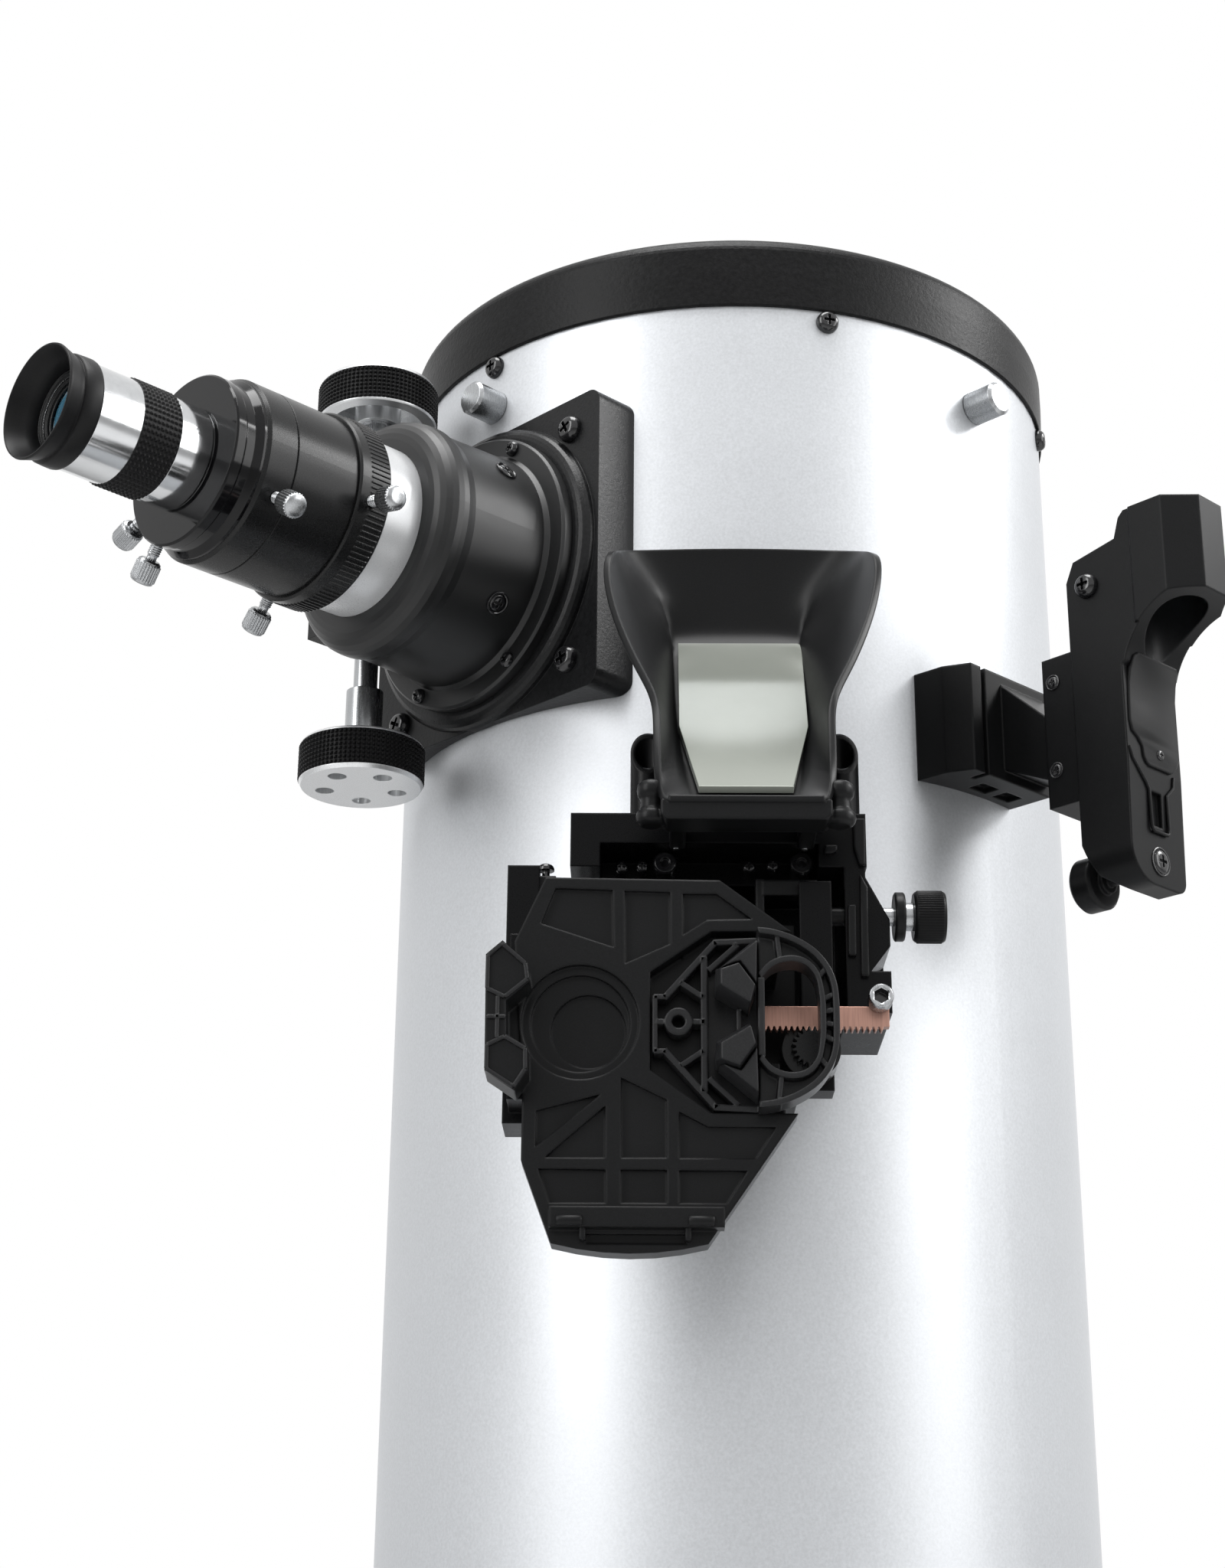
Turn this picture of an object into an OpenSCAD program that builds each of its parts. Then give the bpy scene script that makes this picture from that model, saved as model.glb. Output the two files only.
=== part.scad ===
// Newtonian reflector telescope on a rocker-box base, with a phone dock and a reflex finder.
// The tube stands upright at rest. Z is up, the altitude axis runs along X, the user stands at -Y.

/* [Optical tube] */
// Outside diameter of the rolled tube
tube_d = 235; // [231:0.5:240]
// Wall of the tube
tube_wall = 1.2; // [1:0.1:2]
// Focal length of the primary mirror
focal_l = 1200; // [1150:1:1250]
// Distance from the altitude axis down to the rear end of the tube
balance_l = 512; // [495:1:530]
// Height of the front ring from its skirt to its lip
ring_h = 28; // [26:0.5:32]
// Depth to which the tube goes into the front ring
ring_over = 22; // [18:0.5:23]
// Distance from the front ring's lower edge down to the focuser axis
focuser_drop = 86.7; // [84:0.1:92]
// Distance from the front ring's lower edge down to the spider's middle
spider_drop = 20; // [18:0.5:24]

/* [Mirrors] */
// Diameter of the primary mirror
mirror_d = 203; // [196:0.5:205]
// Edge thickness of the primary mirror
mirror_t = 28; // [22:0.5:32]
// Minor axis of the secondary mirror
secondary_d = 48; // [42:0.5:52]
// Thickness of the secondary mirror
secondary_t = 8; // [6:0.5:10]
// Length of the collimation springs
spring_l = 15; // [13:0.5:20]
// Diameter of the spring wire
spring_wire = 1.6; // [1.2:0.1:1.8]
// Radius at which the collimation knobs stand
collimation_r = 78; // [74:0.5:84]

/* [Focuser] */
// Direction of the focuser round the tube, from the user's side
focuser_az = -45; // [-55:1:-40]
// Side of the square base plate
plate_w = 110; // [104:0.5:116]
// Least thickness of the base plate above the tube
plate_t = 2.5; // [2:0.1:4]
// Outside diameter of the drawtube
drawtube_d = 57; // [56:0.1:58]
// Outside diameter of the focuser body
housing_d = 80; // [78:0.5:86]
// Length of the focuser body above its flange
housing_l = 47.5; // [44:0.5:52]
// Diameter of the focus axle
axle_d = 8; // [6:0.5:9]
// Diameter of a focus knob
knob_d = 41.6; // [38:0.2:44]
// Height of a focus knob
knob_h = 15; // [13:0.5:17]
// Distance from the focuser axis to the outer face of a knob
knob_reach = 74.3; // [72:0.1:80]
// Length of the drawtube that shows at rest
draw_out = 14.5; // [13:0.5:24]
// Length of the knurled collar
collar_l = 12.3; // [11:0.1:14]
// Length of the extension behind the adapter
extension_l = 34.3; // [32:0.1:38]
// Outside diameter of the extension
extension_d = 60; // [59.5:0.1:62]

/* [Eyepiece] */
// Diameter of the eyepiece barrel
barrel_d = 31.75; // [31:0.05:32]
// Diameter of the knurled grip
grip_d = 34.4; // [33.8:0.1:36]
// Length of the chrome band under the grip
low_band_l = 12; // [10:0.5:14]
// Length of the knurled grip
grip_l = 13.4; // [11:0.1:16]
// Length of the chrome band above the grip
high_band_l = 14.2; // [12:0.1:18]
// Length of the eyecup
eyecup_l = 12.2; // [11:0.1:15]

/* [Phone dock] */
// Distance from the tube to the face that the phone lies on
platform_off = 93; // [91:0.5:98]
// Thickness of the phone plate
platform_t = 9; // [8:0.5:10]
// Height of the jaws above the phone plate
jaw_h = 11.5; // [9:0.5:16]
// Diameter of the vertical guide rods
rod_d = 8; // [6:0.5:9]
// Diameter of the horizontal guide rods
cross_rod_d = 6; // [5:0.5:7]
// Module of the rack and pinion
rack_module = 0.5; // [0.45:0.01:0.55]
// Teeth on the pinion
pinion_teeth = 20; // [18:1:22]

/* [Finder] */
// Direction of the finder round the tube, from the user's side
finder_az = 44; // [40:1:50]
// Width of the finder body
finder_w = 27.4; // [26:0.2:29]
// Outside diameter of the finder's window hood
hood_d = 29; // [28:0.2:31]
// Diameter of the sight tunnel
tunnel_d = 20; // [18:0.5:22]

/* [Base] */
// Diameter of the ground board
ground_d = 500; // [490:1:520]
// Diameter of the turning board
floor_d = 468; // [460:1:480]
// Thickness of the boards
board_t = 16; // [15:0.5:19]
// Height of the feet
foot_h = 20; // [18:0.5:26]
// Thickness of the azimuth glides
glide_t = 3; // [2:0.5:5]
// Height of the front panel
front_h = 290; // [270:1:310]
// Diameter of the altitude bearing drums
drum_d = 100; // [90:1:104]
// Thickness of the altitude pads
pad_t = 6; // [5:0.5:8]
// Room under the swinging tube
swing_gap = 24; // [16:1:40]
// Diameter of the azimuth pivot bolt
pivot_d = 12; // [10:0.5:14]

/* [Hidden] */
$fn = 96;
// Running fit of a shaft in its bore, on the radius
fit = 0.06;
// Room between curved faces on one body
seat = 0.1;
// Room between curved faces that move past each other
room = 0.3;
eps = 0.01;

tube_r = tube_d / 2;
bore_r = tube_r - tube_wall;
mirror_r = mirror_d / 2;
mirror_sag = mirror_r * mirror_r / (4 * focal_l);
cell_t = 8;
tray_t = 8;
cell_knob_h = 18;
cell_knob_r = 10;

// Distances along the focuser, from the tube axis
plate_s = tube_r + plate_t;
boss_s = plate_s + 4.3;
flange_t = 4;
housing_s = boss_s + housing_l;
collar_s = housing_s + draw_out;
extension_s = collar_s + collar_l;
adapter_s = extension_s + extension_l;
adapter_neck = 3;
adapter_flange = 7;
flange_s = adapter_s + adapter_neck + adapter_flange;
grip_s = flange_s + low_band_l;
high_band_s = grip_s + grip_l;
eyecup_s = high_band_s + high_band_l;
axle_s = boss_s + 19;
// The axle stands a little further out on top than below
axle_shift = 1.9;
drawtube_r = drawtube_d / 2;
axle_r = axle_d / 2;
axle_x = -(drawtube_r + axle_r + room);

// Heights
ground_z = foot_h;
glide_z = ground_z + board_t;
floor_z = glide_z + glide_t;
floor_top = floor_z + board_t;
swing_reach = balance_l + cell_t + cell_knob_h + 6;
swing_r = norm([swing_reach, collimation_r + cell_knob_r]);
alt_z = floor_top + swing_r + swing_gap;
rear_z = alt_z - balance_l;
tray_z = rear_z + spring_l;
mirror_z = tray_z + tray_t;
mirror_face = mirror_z + mirror_t - mirror_sag;
focuser_z = mirror_face + focal_l - flange_s;
ring_z = focuser_z + focuser_drop;
tube_top = ring_z + ring_over;
spider_z = ring_z - spider_drop;

// Rocker box
panel_x = tube_r + 14.5;
drum_r = drum_d / 2;
notch_r = drum_r + pad_t;
front_y = tube_r + 14;
horn_r = 18;
panel_half = 170;

// Collimation stations
station = [90, 210, 330];

function dir(a) = [cos(a), sin(a)];
function arc(c, r, a0, a1, n = 8) =
    [for (i = [0 : n]) let (a = a0 + (a1 - a0) * i / n) c + r * dir(a)];

// Local frame on the tube: X along the tube's round, Y up, Z straight out from the tube axis
module radial(az, z) {
    translate([0, 0, z]) rotate([0, 0, az]) rotate([90, 0, 0]) children();
}

module focuser() {
    radial(focuser_az, focuser_z) children();
}

module finder() {
    radial(finder_az, ring_z) children();
}

// Dock frame: X across, Y up from the front ring, Z out from the tube axis
module dock() {
    radial(0, ring_z) children();
}

// Extrudes a dock outline between two distances from the tube
module dock_slab(n0, n1) {
    translate([0, 0, tube_r + n0]) linear_extrude(n1 - n0) children();
}

module turned(points) {
    rotate_extrude() polygon(points);
}

// Solid that stands along local Y
module along_y() {
    rotate([-90, 0, 0]) children();
}

// Solid that stands along X, at the altitude axis
module along_x(z) {
    translate([0, 0, z]) rotate([90, 0, 90]) children();
}

module round_rect(w, h, r) {
    square([w - 2 * r, h], center = true);
    square([w, h - 2 * r], center = true);
    for (x = [-1, 1], y = [-1, 1])
        translate([x * (w / 2 - r), y * (h / 2 - r)]) circle(r);
}

// The tube's outside, used to cut a saddle
module tube_cutter() {
    translate([0, 0, rear_z - 50]) cylinder(r = tube_r + seat, h = tube_top - rear_z + 100, $fn = 180);
}

module button_head(r, h) {
    turned([[0, 0], [r, 0], [r, h * 0.35], [r * 0.8, h * 0.8], [r * 0.45, h], [0, h]]);
}

module disc_board(d, t, hole_r) {
    edge = 2;
    r = d / 2;
    turned([[hole_r, 0], [r - edge, 0], [r, edge], [r, t - edge], [r - edge, t], [hole_r, t]]);
}

module ground_board() {
    color("#26262a") translate([0, 0, ground_z]) disc_board(ground_d, board_t, pivot_d / 2 + seat);
}

module base_feet() {
    color("#1a1a1a")
        for (a = station) rotate([0, 0, a]) translate([ground_d / 2 - 44, 0, 0])
            cylinder(r1 = 21, r2 = 24, h = foot_h);
}

module azimuth_glides() {
    color("white")
        for (a = station) rotate([0, 0, a]) translate([floor_d / 2 - 28, 0, glide_z])
            cylinder(r = 16, h = glide_t);
}

module azimuth_pivot() {
    washer_t = 2;
    head_h = 7;
    nut_h = 10;
    color("silver") {
        translate([0, 0, ground_z - head_h]) cylinder(d = pivot_d * 1.8, h = head_h, $fn = 6);
        translate([0, 0, ground_z]) cylinder(d = pivot_d, h = floor_top - ground_z + washer_t + nut_h + 3);
        translate([0, 0, floor_top]) cylinder(d = pivot_d * 2.6, h = washer_t);
        translate([0, 0, floor_top + washer_t]) cylinder(d = pivot_d * 1.8, h = nut_h, $fn = 6);
    }
}

module rocker_floor() {
    color("#2b2b30") translate([0, 0, floor_z]) disc_board(floor_d, board_t, pivot_d / 2 + fit);
}

// A side panel with two horns and a round notch for the bearing drum
module side_panel() {
    shoulder = floor_top + 120;
    horn_y = notch_r + horn_r;
    outline = [[-panel_half, floor_top], [panel_half, floor_top], [panel_half, shoulder],
        [horn_y + horn_r, alt_z], [-horn_y - horn_r, alt_z], [-panel_half, shoulder]];
    difference() {
        translate([panel_x, 0, 0]) rotate([90, 0, 90]) linear_extrude(board_t) union() {
            polygon(outline);
            for (side = [-1, 1]) translate([side * horn_y, alt_z]) circle(horn_r);
        }
        along_x(alt_z) cylinder(r = notch_r, h = 2 * panel_x);
    }
}

module side_panels() {
    color("#2b2b30") for (side = [0, 1]) mirror([side, 0, 0]) side_panel();
}

module front_panel() {
    corner = 30;
    half = panel_x - corner;
    color("#2b2b30") translate([0, front_y + board_t, floor_top]) rotate([90, 0, 0]) linear_extrude(board_t)
        union() {
            translate([-panel_x, 0]) square([2 * panel_x, front_h - corner]);
            translate([-half, 0]) square([2 * half, front_h]);
            for (side = [-1, 1]) translate([side * half, front_h - corner]) circle(corner);
        }
}

module carry_handle() {
    reach = 36;
    span = 58;
    bar_r = 9;
    y0 = front_y + board_t;
    z0 = floor_top + front_h - 60;
    color("#1c1c1e") translate([0, y0, z0]) {
        for (side = [-1, 1]) translate([side * span, 0, 0]) rotate([-90, 0, 0]) {
            cylinder(r = 15, h = 4);
            cylinder(r = bar_r, h = reach);
            translate([0, 0, reach]) sphere(bar_r);
        }
        translate([-span, reach, 0]) rotate([0, 90, 0]) cylinder(r = bar_r, h = 2 * span);
    }
}

module altitude_pads() {
    sweep = 26;
    color("white") for (side = [0, 1], at = [-52, -128])
        mirror([side, 0, 0]) along_x(alt_z) translate([0, 0, panel_x]) rotate([0, 0, at - sweep / 2])
            rotate_extrude(angle = sweep) translate([drum_r + room, 0])
                square([notch_r - seat - drum_r - room, board_t]);
}

module eyepiece_rack() {
    plate = 3;
    depth = 66;
    length = 190;
    small_r = barrel_d / 2 + 0.4;
    large_r = 25.8;
    x0 = panel_x + board_t;
    z0 = floor_top + 270;
    color("#1f1f22") translate([x0, 0, z0]) difference() {
        union() {
            translate([0, -length / 2, 0]) cube([depth, length, plate]);
            translate([0, -length / 2, -32]) cube([plate, length, 32]);
        }
        for (y = [-72, -34, 4]) translate([depth / 2 + 4, y, -1]) cylinder(r = small_r, h = plate + 2);
        translate([depth / 2 + 4, 56, -1]) cylinder(r = large_r, h = plate + 2);
    }
}

module panel_bolts() {
    color("silver") for (side = [0, 1], h = [50, 140, 230]) mirror([side, 0, 0])
        translate([panel_x + board_t, front_y + board_t / 2, floor_top + h]) rotate([0, 90, 0])
            button_head(6, 3);
}

module optical_tube() {
    hole_r = drawtube_r + 4;
    color("#c9ccce") difference() {
        translate([0, 0, rear_z]) cylinder(r = tube_r, h = tube_top - rear_z, $fn = 180);
        translate([0, 0, rear_z - 1]) cylinder(r = bore_r, h = tube_top - rear_z + 2, $fn = 180);
        focuser() cylinder(r = hole_r, h = tube_d);
        for (a = [45 : 90 : 315]) radial(a, spider_z) cylinder(r = 2.6, h = tube_d);
    }
}

// The ring's section: a skirt outside the tube, a rolled lip and a sleeve inside
module front_ring() {
    skirt_r = tube_r + 1.3;
    lip = 7;
    top = ring_h;
    outer = concat([[skirt_r - 0.3, 0], [skirt_r, 0.4], [skirt_r + 0.3, top * 0.45]],
        arc([skirt_r - lip + 0.3, top - lip], lip, 5, 90, 8));
    inner = concat([[skirt_r - 9, top - 0.4], [skirt_r - 11.2, top - 2.2], [skirt_r - 11.6, top - 5],
        [skirt_r - 10, top - 5.4], [bore_r - seat - 2.5, top - 8]]);
    sleeve = [[bore_r - seat - 2.5, -5], [bore_r - seat, -5], [bore_r - seat, ring_over],
        [tube_r + seat, ring_over], [tube_r + seat, 0]];
    section = concat(outer, inner, sleeve);
    color("#1c1d1f") translate([0, 0, ring_z]) rotate_extrude($fn = 180) polygon(section);
}

module button_screws() {
    head_r = 3.9;
    plate_pitch = plate_w / 2 - 13.5;
    color("#111111") {
        for (a = [-45 : 60 : 255], z = [rear_z + 9, ring_z - 4.2])
            radial(a, z) translate([0, 0, tube_r + seat]) button_head(head_r, 3);
        focuser() for (x = [-1, 1], y = [-1, 1]) translate([x, y] * plate_pitch) translate([0, 0, plate_s])
            button_head(4.6, 3.2);
        focuser() for (a = [60, 120, 240, 300]) rotate([0, 0, a])
            translate([housing_d / 2 + 4.3, 0, boss_s + flange_t]) button_head(2.6, 2);
    }
}

hub_h = 28;
module spider() {
    vane_h = 24;
    vane_t = 1.2;
    hub_r = 15;
    vane_r = bore_r - 1;
    color("#151517") {
        translate([0, 0, spider_z - hub_h / 2]) cylinder(r = hub_r, h = hub_h);
        for (a = [45 : 90 : 315]) radial(a, spider_z) {
            translate([-vane_t / 2, -vane_h / 2, hub_r - 1]) cube([vane_t, vane_h, vane_r - hub_r + 1]);
            translate([0, 0, vane_r - 10]) cylinder(r = 2.5, h = tube_r + 5 - vane_r + 10);
        }
    }
}

module spider_nuts() {
    nut_r = 5.9;
    nut_l = 11.5;
    color("#d8dadb") for (a = [45 : 90 : 315]) radial(a, spider_z) translate([0, 0, tube_r + seat])
        difference() {
            turned([[0, 0], [nut_r, 0], [nut_r, nut_l - 1], [nut_r - 1, nut_l], [0, nut_l]]);
            translate([0, 0, -1]) cylinder(r = 2.5 + fit, h = 7);
        }
}

module secondary_holder() {
    holder_r = secondary_d / 2 - 1;
    top = 34;
    stalk_l = spider_z - hub_h / 2 - focuser_z - top;
    color("#18181a") focuser() {
        difference() {
            translate([0, -holder_r - 4, 0]) along_y() cylinder(r = holder_r, h = top + holder_r + 4);
            rotate([45, 0, 0]) translate([-60, -60, -secondary_t]) cube([120, 120, 120]);
        }
        translate([0, top, 0]) along_y() cylinder(r = 6, h = stalk_l);
    }
}

module secondary_mirror() {
    color("#b8c4c8") focuser() intersection() {
        translate([0, -60, 0]) along_y() cylinder(r = secondary_d / 2, h = 120);
        rotate([45, 0, 0]) translate([-60, -60, -secondary_t]) cube([120, 120, secondary_t]);
    }
}

// Rear casting: an end ring with a sleeve and three spokes that meet in an open hub
module mirror_cell() {
    sleeve_r = bore_r - seat;
    hub_r = 42;
    spoke_w = 40;
    color("#1c1d1f") difference() {
        union() {
            translate([0, 0, rear_z]) rotate_extrude($fn = 180) polygon([[sleeve_r - 5, -cell_t],
                [tube_r - 1.5, -cell_t], [tube_r + 1.3, -cell_t + 3], [tube_r + 1.3, 0],
                [sleeve_r, 0], [sleeve_r, 14], [sleeve_r - 5, 14]]);
            translate([0, 0, rear_z - cell_t]) {
                cylinder(r = hub_r, h = cell_t);
                for (a = station) rotate([0, 0, a]) translate([0, -spoke_w / 2, 0])
                    cube([sleeve_r - 3, spoke_w, cell_t]);
            }
        }
        translate([0, 0, rear_z - cell_t - 1]) {
            cylinder(r = hub_r - 14, h = cell_t + 2);
            for (a = station) rotate([0, 0, a]) translate([collimation_r, 0, 0])
                cylinder(r = 3 + fit, h = cell_t + 2);
        }
    }
}

// A lightened disc with three hooks on its rim that hold the mirror's edge
module mirror_tray() {
    bolt_depth = 6;
    clip_w = 16;
    post_in = mirror_r + seat;
    post_out = mirror_r + 2;
    color("#2a2a2c") {
        difference() {
            translate([0, 0, tray_z]) cylinder(r = post_out + 0.6, h = tray_t);
            translate([0, 0, tray_z - 1]) cylinder(r = 30, h = tray_t + 2);
            for (a = station) rotate([0, 0, a]) {
                translate([collimation_r, 0, tray_z - 1]) cylinder(r = 3 + fit, h = bolt_depth + 1);
                rotate([0, 0, 60]) translate([66, 0, tray_z - 1]) cylinder(r = 22, h = tray_t + 2);
            }
        }
        for (a = station) rotate([0, 0, a]) intersection() {
            translate([0, 0, mirror_z]) turned([[post_in, -1], [post_out, -1], [post_out, mirror_t + 3],
                [post_in - 6, mirror_t + 3], [post_in - 6, mirror_t], [post_in, mirror_t]]);
            translate([0, -clip_w / 2, mirror_z - 1]) cube([mirror_d, clip_w, mirror_t + 6]);
        }
    }
}

module primary_mirror() {
    steps = 8;
    face = [for (i = [0 : steps]) let (r = mirror_r * i / steps)
        [r, mirror_t - mirror_sag + r * r / (4 * focal_l)]];
    color("#c4d2d8") translate([0, 0, mirror_z]) rotate_extrude($fn = 180)
        polygon(concat([[mirror_r, 0], [0, 0]], face));
}

// Points of one spring: straight ends and a helix between them
spring_r = 6.4;
spring_turns = 3;
spring_rings = 8 * spring_turns;
spring_lead = spring_l - 2 * spring_wire;
function spring_path() = concat([[spring_r, 0, 0]],
    [for (i = [0 : spring_rings]) let (t = i / spring_rings, a = 360 * spring_turns * t)
        [spring_r * cos(a), spring_r * sin(a), spring_wire + spring_lead * t]],
    [[spring_r, 0, spring_l]]);

// Least gap between one turn and the next
spring_gap = spring_lead / spring_turns - spring_wire;
echo(spring_gap = spring_gap);

module tube_along(path, r, sides = 6) {
    n = len(path);
    function heading(i) = let (d = path[min(i + 1, n - 1)] - path[max(i - 1, 0)]) d / norm(d);
    function flat(i) = i == 0 || i == n - 1;
    function out(i) = let (p = path[i]) [p[0], p[1], 0] / norm([p[0], p[1]]);
    function side(i) = flat(i) ? cross([0, 0, 1], out(i)) : cross(heading(i), out(i));
    points = [for (i = [0 : n - 1], k = [0 : sides - 1]) let (a = 360 * k / sides)
        path[i] + r * (cos(a) * out(i) + sin(a) * side(i) / norm(side(i)))];
    faces = concat([[for (k = [0 : sides - 1]) k]],
        [[for (k = [sides - 1 : -1 : 0]) (n - 1) * sides + k]],
        [for (i = [0 : n - 2], k = [0 : sides - 1]) let (m = (k + 1) % sides)
            each [[i * sides + k, (i + 1) * sides + k, i * sides + m],
                [i * sides + m, (i + 1) * sides + k, (i + 1) * sides + m]]]);
    polyhedron(points, faces);
}

module collimation_springs() {
    color("silver") for (a = station) rotate([0, 0, a]) translate([collimation_r, 0, rear_z])
        tube_along(spring_path(), spring_wire / 2);
}

// A knurled knob under the cell with its bolt up through the spring into the tray
module collimation_knob(a) {
    washer_t = 1.5;
    color("#3a3a3c") rotate([0, 0, a]) translate([collimation_r, 0, rear_z - cell_t]) {
        translate([0, 0, -washer_t]) cylinder(r = cell_knob_r - 3, h = washer_t);
        translate([0, 0, -washer_t - cell_knob_h]) turned([[0, 0], [cell_knob_r - 1, 0], [cell_knob_r, 1],
            [cell_knob_r, cell_knob_h - 4], [cell_knob_r - 3, cell_knob_h], [0, cell_knob_h]]);
        cylinder(r = 3, h = cell_t + spring_l + 5);
    }
}

module collimation_knob_a() {
    collimation_knob(station[0]);
}

module collimation_knob_b() {
    collimation_knob(station[1]);
}

module collimation_knob_c() {
    collimation_knob(station[2]);
}

// A bearing drum between two flanges on a foot that fits the tube
module trunnion() {
    flange = 6;
    inner_x = panel_x - 1;
    outer_x = panel_x + board_t + 1;
    cap_r = 26;
    difference() {
        along_x(alt_z) {
            translate([0, 0, tube_r - 18]) cylinder(r = drum_r - 4, h = inner_x - flange - tube_r + 18);
            translate([0, 0, inner_x - flange]) cylinder(r = drum_r + 9, h = flange);
            translate([0, 0, inner_x]) cylinder(r = drum_r, h = outer_x - inner_x);
            translate([0, 0, outer_x]) turned([[0, 0], [drum_r + 7, 0], [drum_r + 7, flange - 2],
                [drum_r + 5, flange], [cap_r, flange], [cap_r - 4, flange - 2.5], [0, flange - 2.5]]);
        }
        tube_cutter();
    }
}

module trunnions() {
    color("#202022") for (side = [0, 1]) mirror([side, 0, 0]) trunnion();
}

module focuser_plate() {
    corner = 5;
    boss_r = housing_d / 2 + 13.3;
    color("#1e1f21") difference() {
        focuser() {
            translate([0, 0, tube_r - 24]) linear_extrude(plate_s - tube_r + 24)
                round_rect(plate_w, plate_w - 4, corner);
            turned(concat([[0, plate_s - 2], [boss_r, plate_s - 2]],
                arc([boss_r - boss_s + plate_s, plate_s], boss_s - plate_s, 0, 90, 5), [[0, boss_s]]));
        }
        tube_cutter();
        focuser() cylinder(r = drawtube_r + 1.5, h = plate_s + 20);
    }
}

// Body of the focuser: flange, barrel, rounded mouth, and the axle's bore beside the drawtube
module focuser_housing() {
    body_r = housing_d / 2;
    flange_r = body_r + 7.6;
    lip = 8;
    profile = concat([[drawtube_r + fit, boss_s], [flange_r, boss_s], [flange_r, boss_s + flange_t - 0.8],
        [flange_r - 0.8, boss_s + flange_t], [body_r + 1.2, boss_s + flange_t], [body_r, boss_s + flange_t + 1.5],
        [body_r - 1, housing_s - lip - 5.5], [body_r - 0.6, housing_s - lip - 4], [body_r, housing_s - lip - 2]],
        arc([body_r - lip, housing_s - lip], lip, 0, 90, 6), [[drawtube_r + fit, housing_s]]);
    color("#1e1f21") focuser() difference() {
        turned(profile);
        translate([axle_x, -60, axle_s]) along_y() cylinder(r = axle_r + fit, h = 120);
    }
}

// Saddle block outside the housing that keeps the axle pressed to the drawtube
module axle_block() {
    block_h = 36;
    block_d = 26;
    color("#1a1a1c") focuser() difference() {
        translate([-housing_d / 2 - 9, -block_h / 2, axle_s - block_d / 2]) cube([22, block_h, block_d]);
        cylinder(r = housing_d / 2 + 0.2, h = housing_s);
        translate([axle_x, -block_h, axle_s]) along_y() cylinder(r = axle_r + fit, h = 2 * block_h);
    }
}

module drawtube() {
    wall = 2;
    inner_s = tube_r - 8;
    color("#dfe2e3") focuser() translate([0, 0, inner_s]) difference() {
        cylinder(r = drawtube_r, h = collar_s + 8 - inner_s);
        translate([0, 0, -1]) cylinder(r = drawtube_r - wall, h = collar_s + 10 - inner_s);
    }
}

collar_r = extension_d / 2 + 1.4;
screw_r = 2;

// Hole for a thumbscrew, from the middle outward
module screw_hole(angle, s) {
    translate([0, 0, s]) rotate([0, 0, angle]) rotate([0, 90, 0]) cylinder(r = screw_r + fit, h = 60);
}

module drawtube_collar() {
    color("#17181a") focuser() difference() {
        translate([0, 0, collar_s]) turned([[drawtube_r + seat, 0], [collar_r - 0.6, 0], [collar_r, 0.6],
            [collar_r, collar_l - 0.6], [collar_r - 0.6, collar_l], [drawtube_r - 2, collar_l],
            [drawtube_r - 2, 8 + seat], [drawtube_r + seat, 8 + seat]]);
        screw_hole(collar_screw_a[0], collar_screw_a[1]);
        screw_hole(collar_screw_b[0], collar_screw_b[1]);
    }
}

socket_r = 25.4;
split_s = adapter_s - 11;

module extension_tube() {
    r = extension_d / 2;
    color("#17181a") focuser() difference() {
        translate([0, 0, extension_s]) turned([[socket_r + seat, 0], [r, 0], [r, split_s - extension_s - 0.3],
            [r - 0.5, split_s - extension_s], [r, split_s - extension_s + 0.3], [r, extension_l - 1],
            [r - 1, extension_l], [socket_r + seat, extension_l]]);
        screw_hole(extension_screw[0], extension_screw[1]);
    }
}

module eyepiece_adapter() {
    bore = barrel_d / 2 + 0.05;
    flange_r = 27.6;
    depth = 26;
    neck = adapter_neck;
    color("#0e0e10") focuser() difference() {
        translate([0, 0, adapter_s]) turned([[bore, -depth], [socket_r, -depth], [socket_r, 0],
            [flange_r + 1.4, 0], [flange_r + 1.4, 1], [flange_r - 0.4, neck], [flange_r - 0.4, neck + 3],
            [flange_r, neck + 3.6], [flange_r, neck + adapter_flange - 0.6],
            [flange_r - 0.6, neck + adapter_flange], [bore, neck + adapter_flange]]);
        screw_hole(adapter_screw_a[0], adapter_screw_a[1]);
        screw_hole(adapter_screw_b[0], adapter_screw_b[1]);
    }
}

// Thumbscrews: angle round the focuser axis, distance along it, radius of the surface
collar_screw_a = [-13.5, collar_s + 7, collar_r];
collar_screw_b = [-133, collar_s + 6.5, collar_r];
extension_screw = [-32, adapter_s - 7, extension_d / 2];
adapter_screw_a = [-160, adapter_s + 6, 27.6];
adapter_screw_b = [-128, adapter_s + 6, 27.6];

// A thumbscrew with a knurled head, its tip inside the wall
module thumbscrew(place, tip_r) {
    neck_l = 5;
    head_l = 8;
    head_r = 4;
    start = place[2] + neck_l;
    color("#d8dadb") focuser() translate([0, 0, place[1]]) rotate([0, 0, place[0]]) rotate([0, 90, 0]) {
        translate([0, 0, tip_r]) cylinder(r = screw_r, h = start - tip_r);
        translate([0, 0, start]) turned([[0, 0], [head_r - 1.2, 0], [head_r, 1], [head_r, head_l - 0.8],
            [head_r - 0.8, head_l], [0, head_l]]);
    }
}

module collar_thumbscrew_a() {
    thumbscrew(collar_screw_a, drawtube_r + 0.4);
}

module collar_thumbscrew_b() {
    thumbscrew(collar_screw_b, drawtube_r + 0.4);
}

module extension_thumbscrew() {
    thumbscrew(extension_screw, socket_r + 0.4);
}

module adapter_thumbscrew_a() {
    thumbscrew(adapter_screw_a, barrel_d / 2 + 0.4);
}

module adapter_thumbscrew_b() {
    thumbscrew(adapter_screw_b, barrel_d / 2 + 0.4);
}

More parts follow.
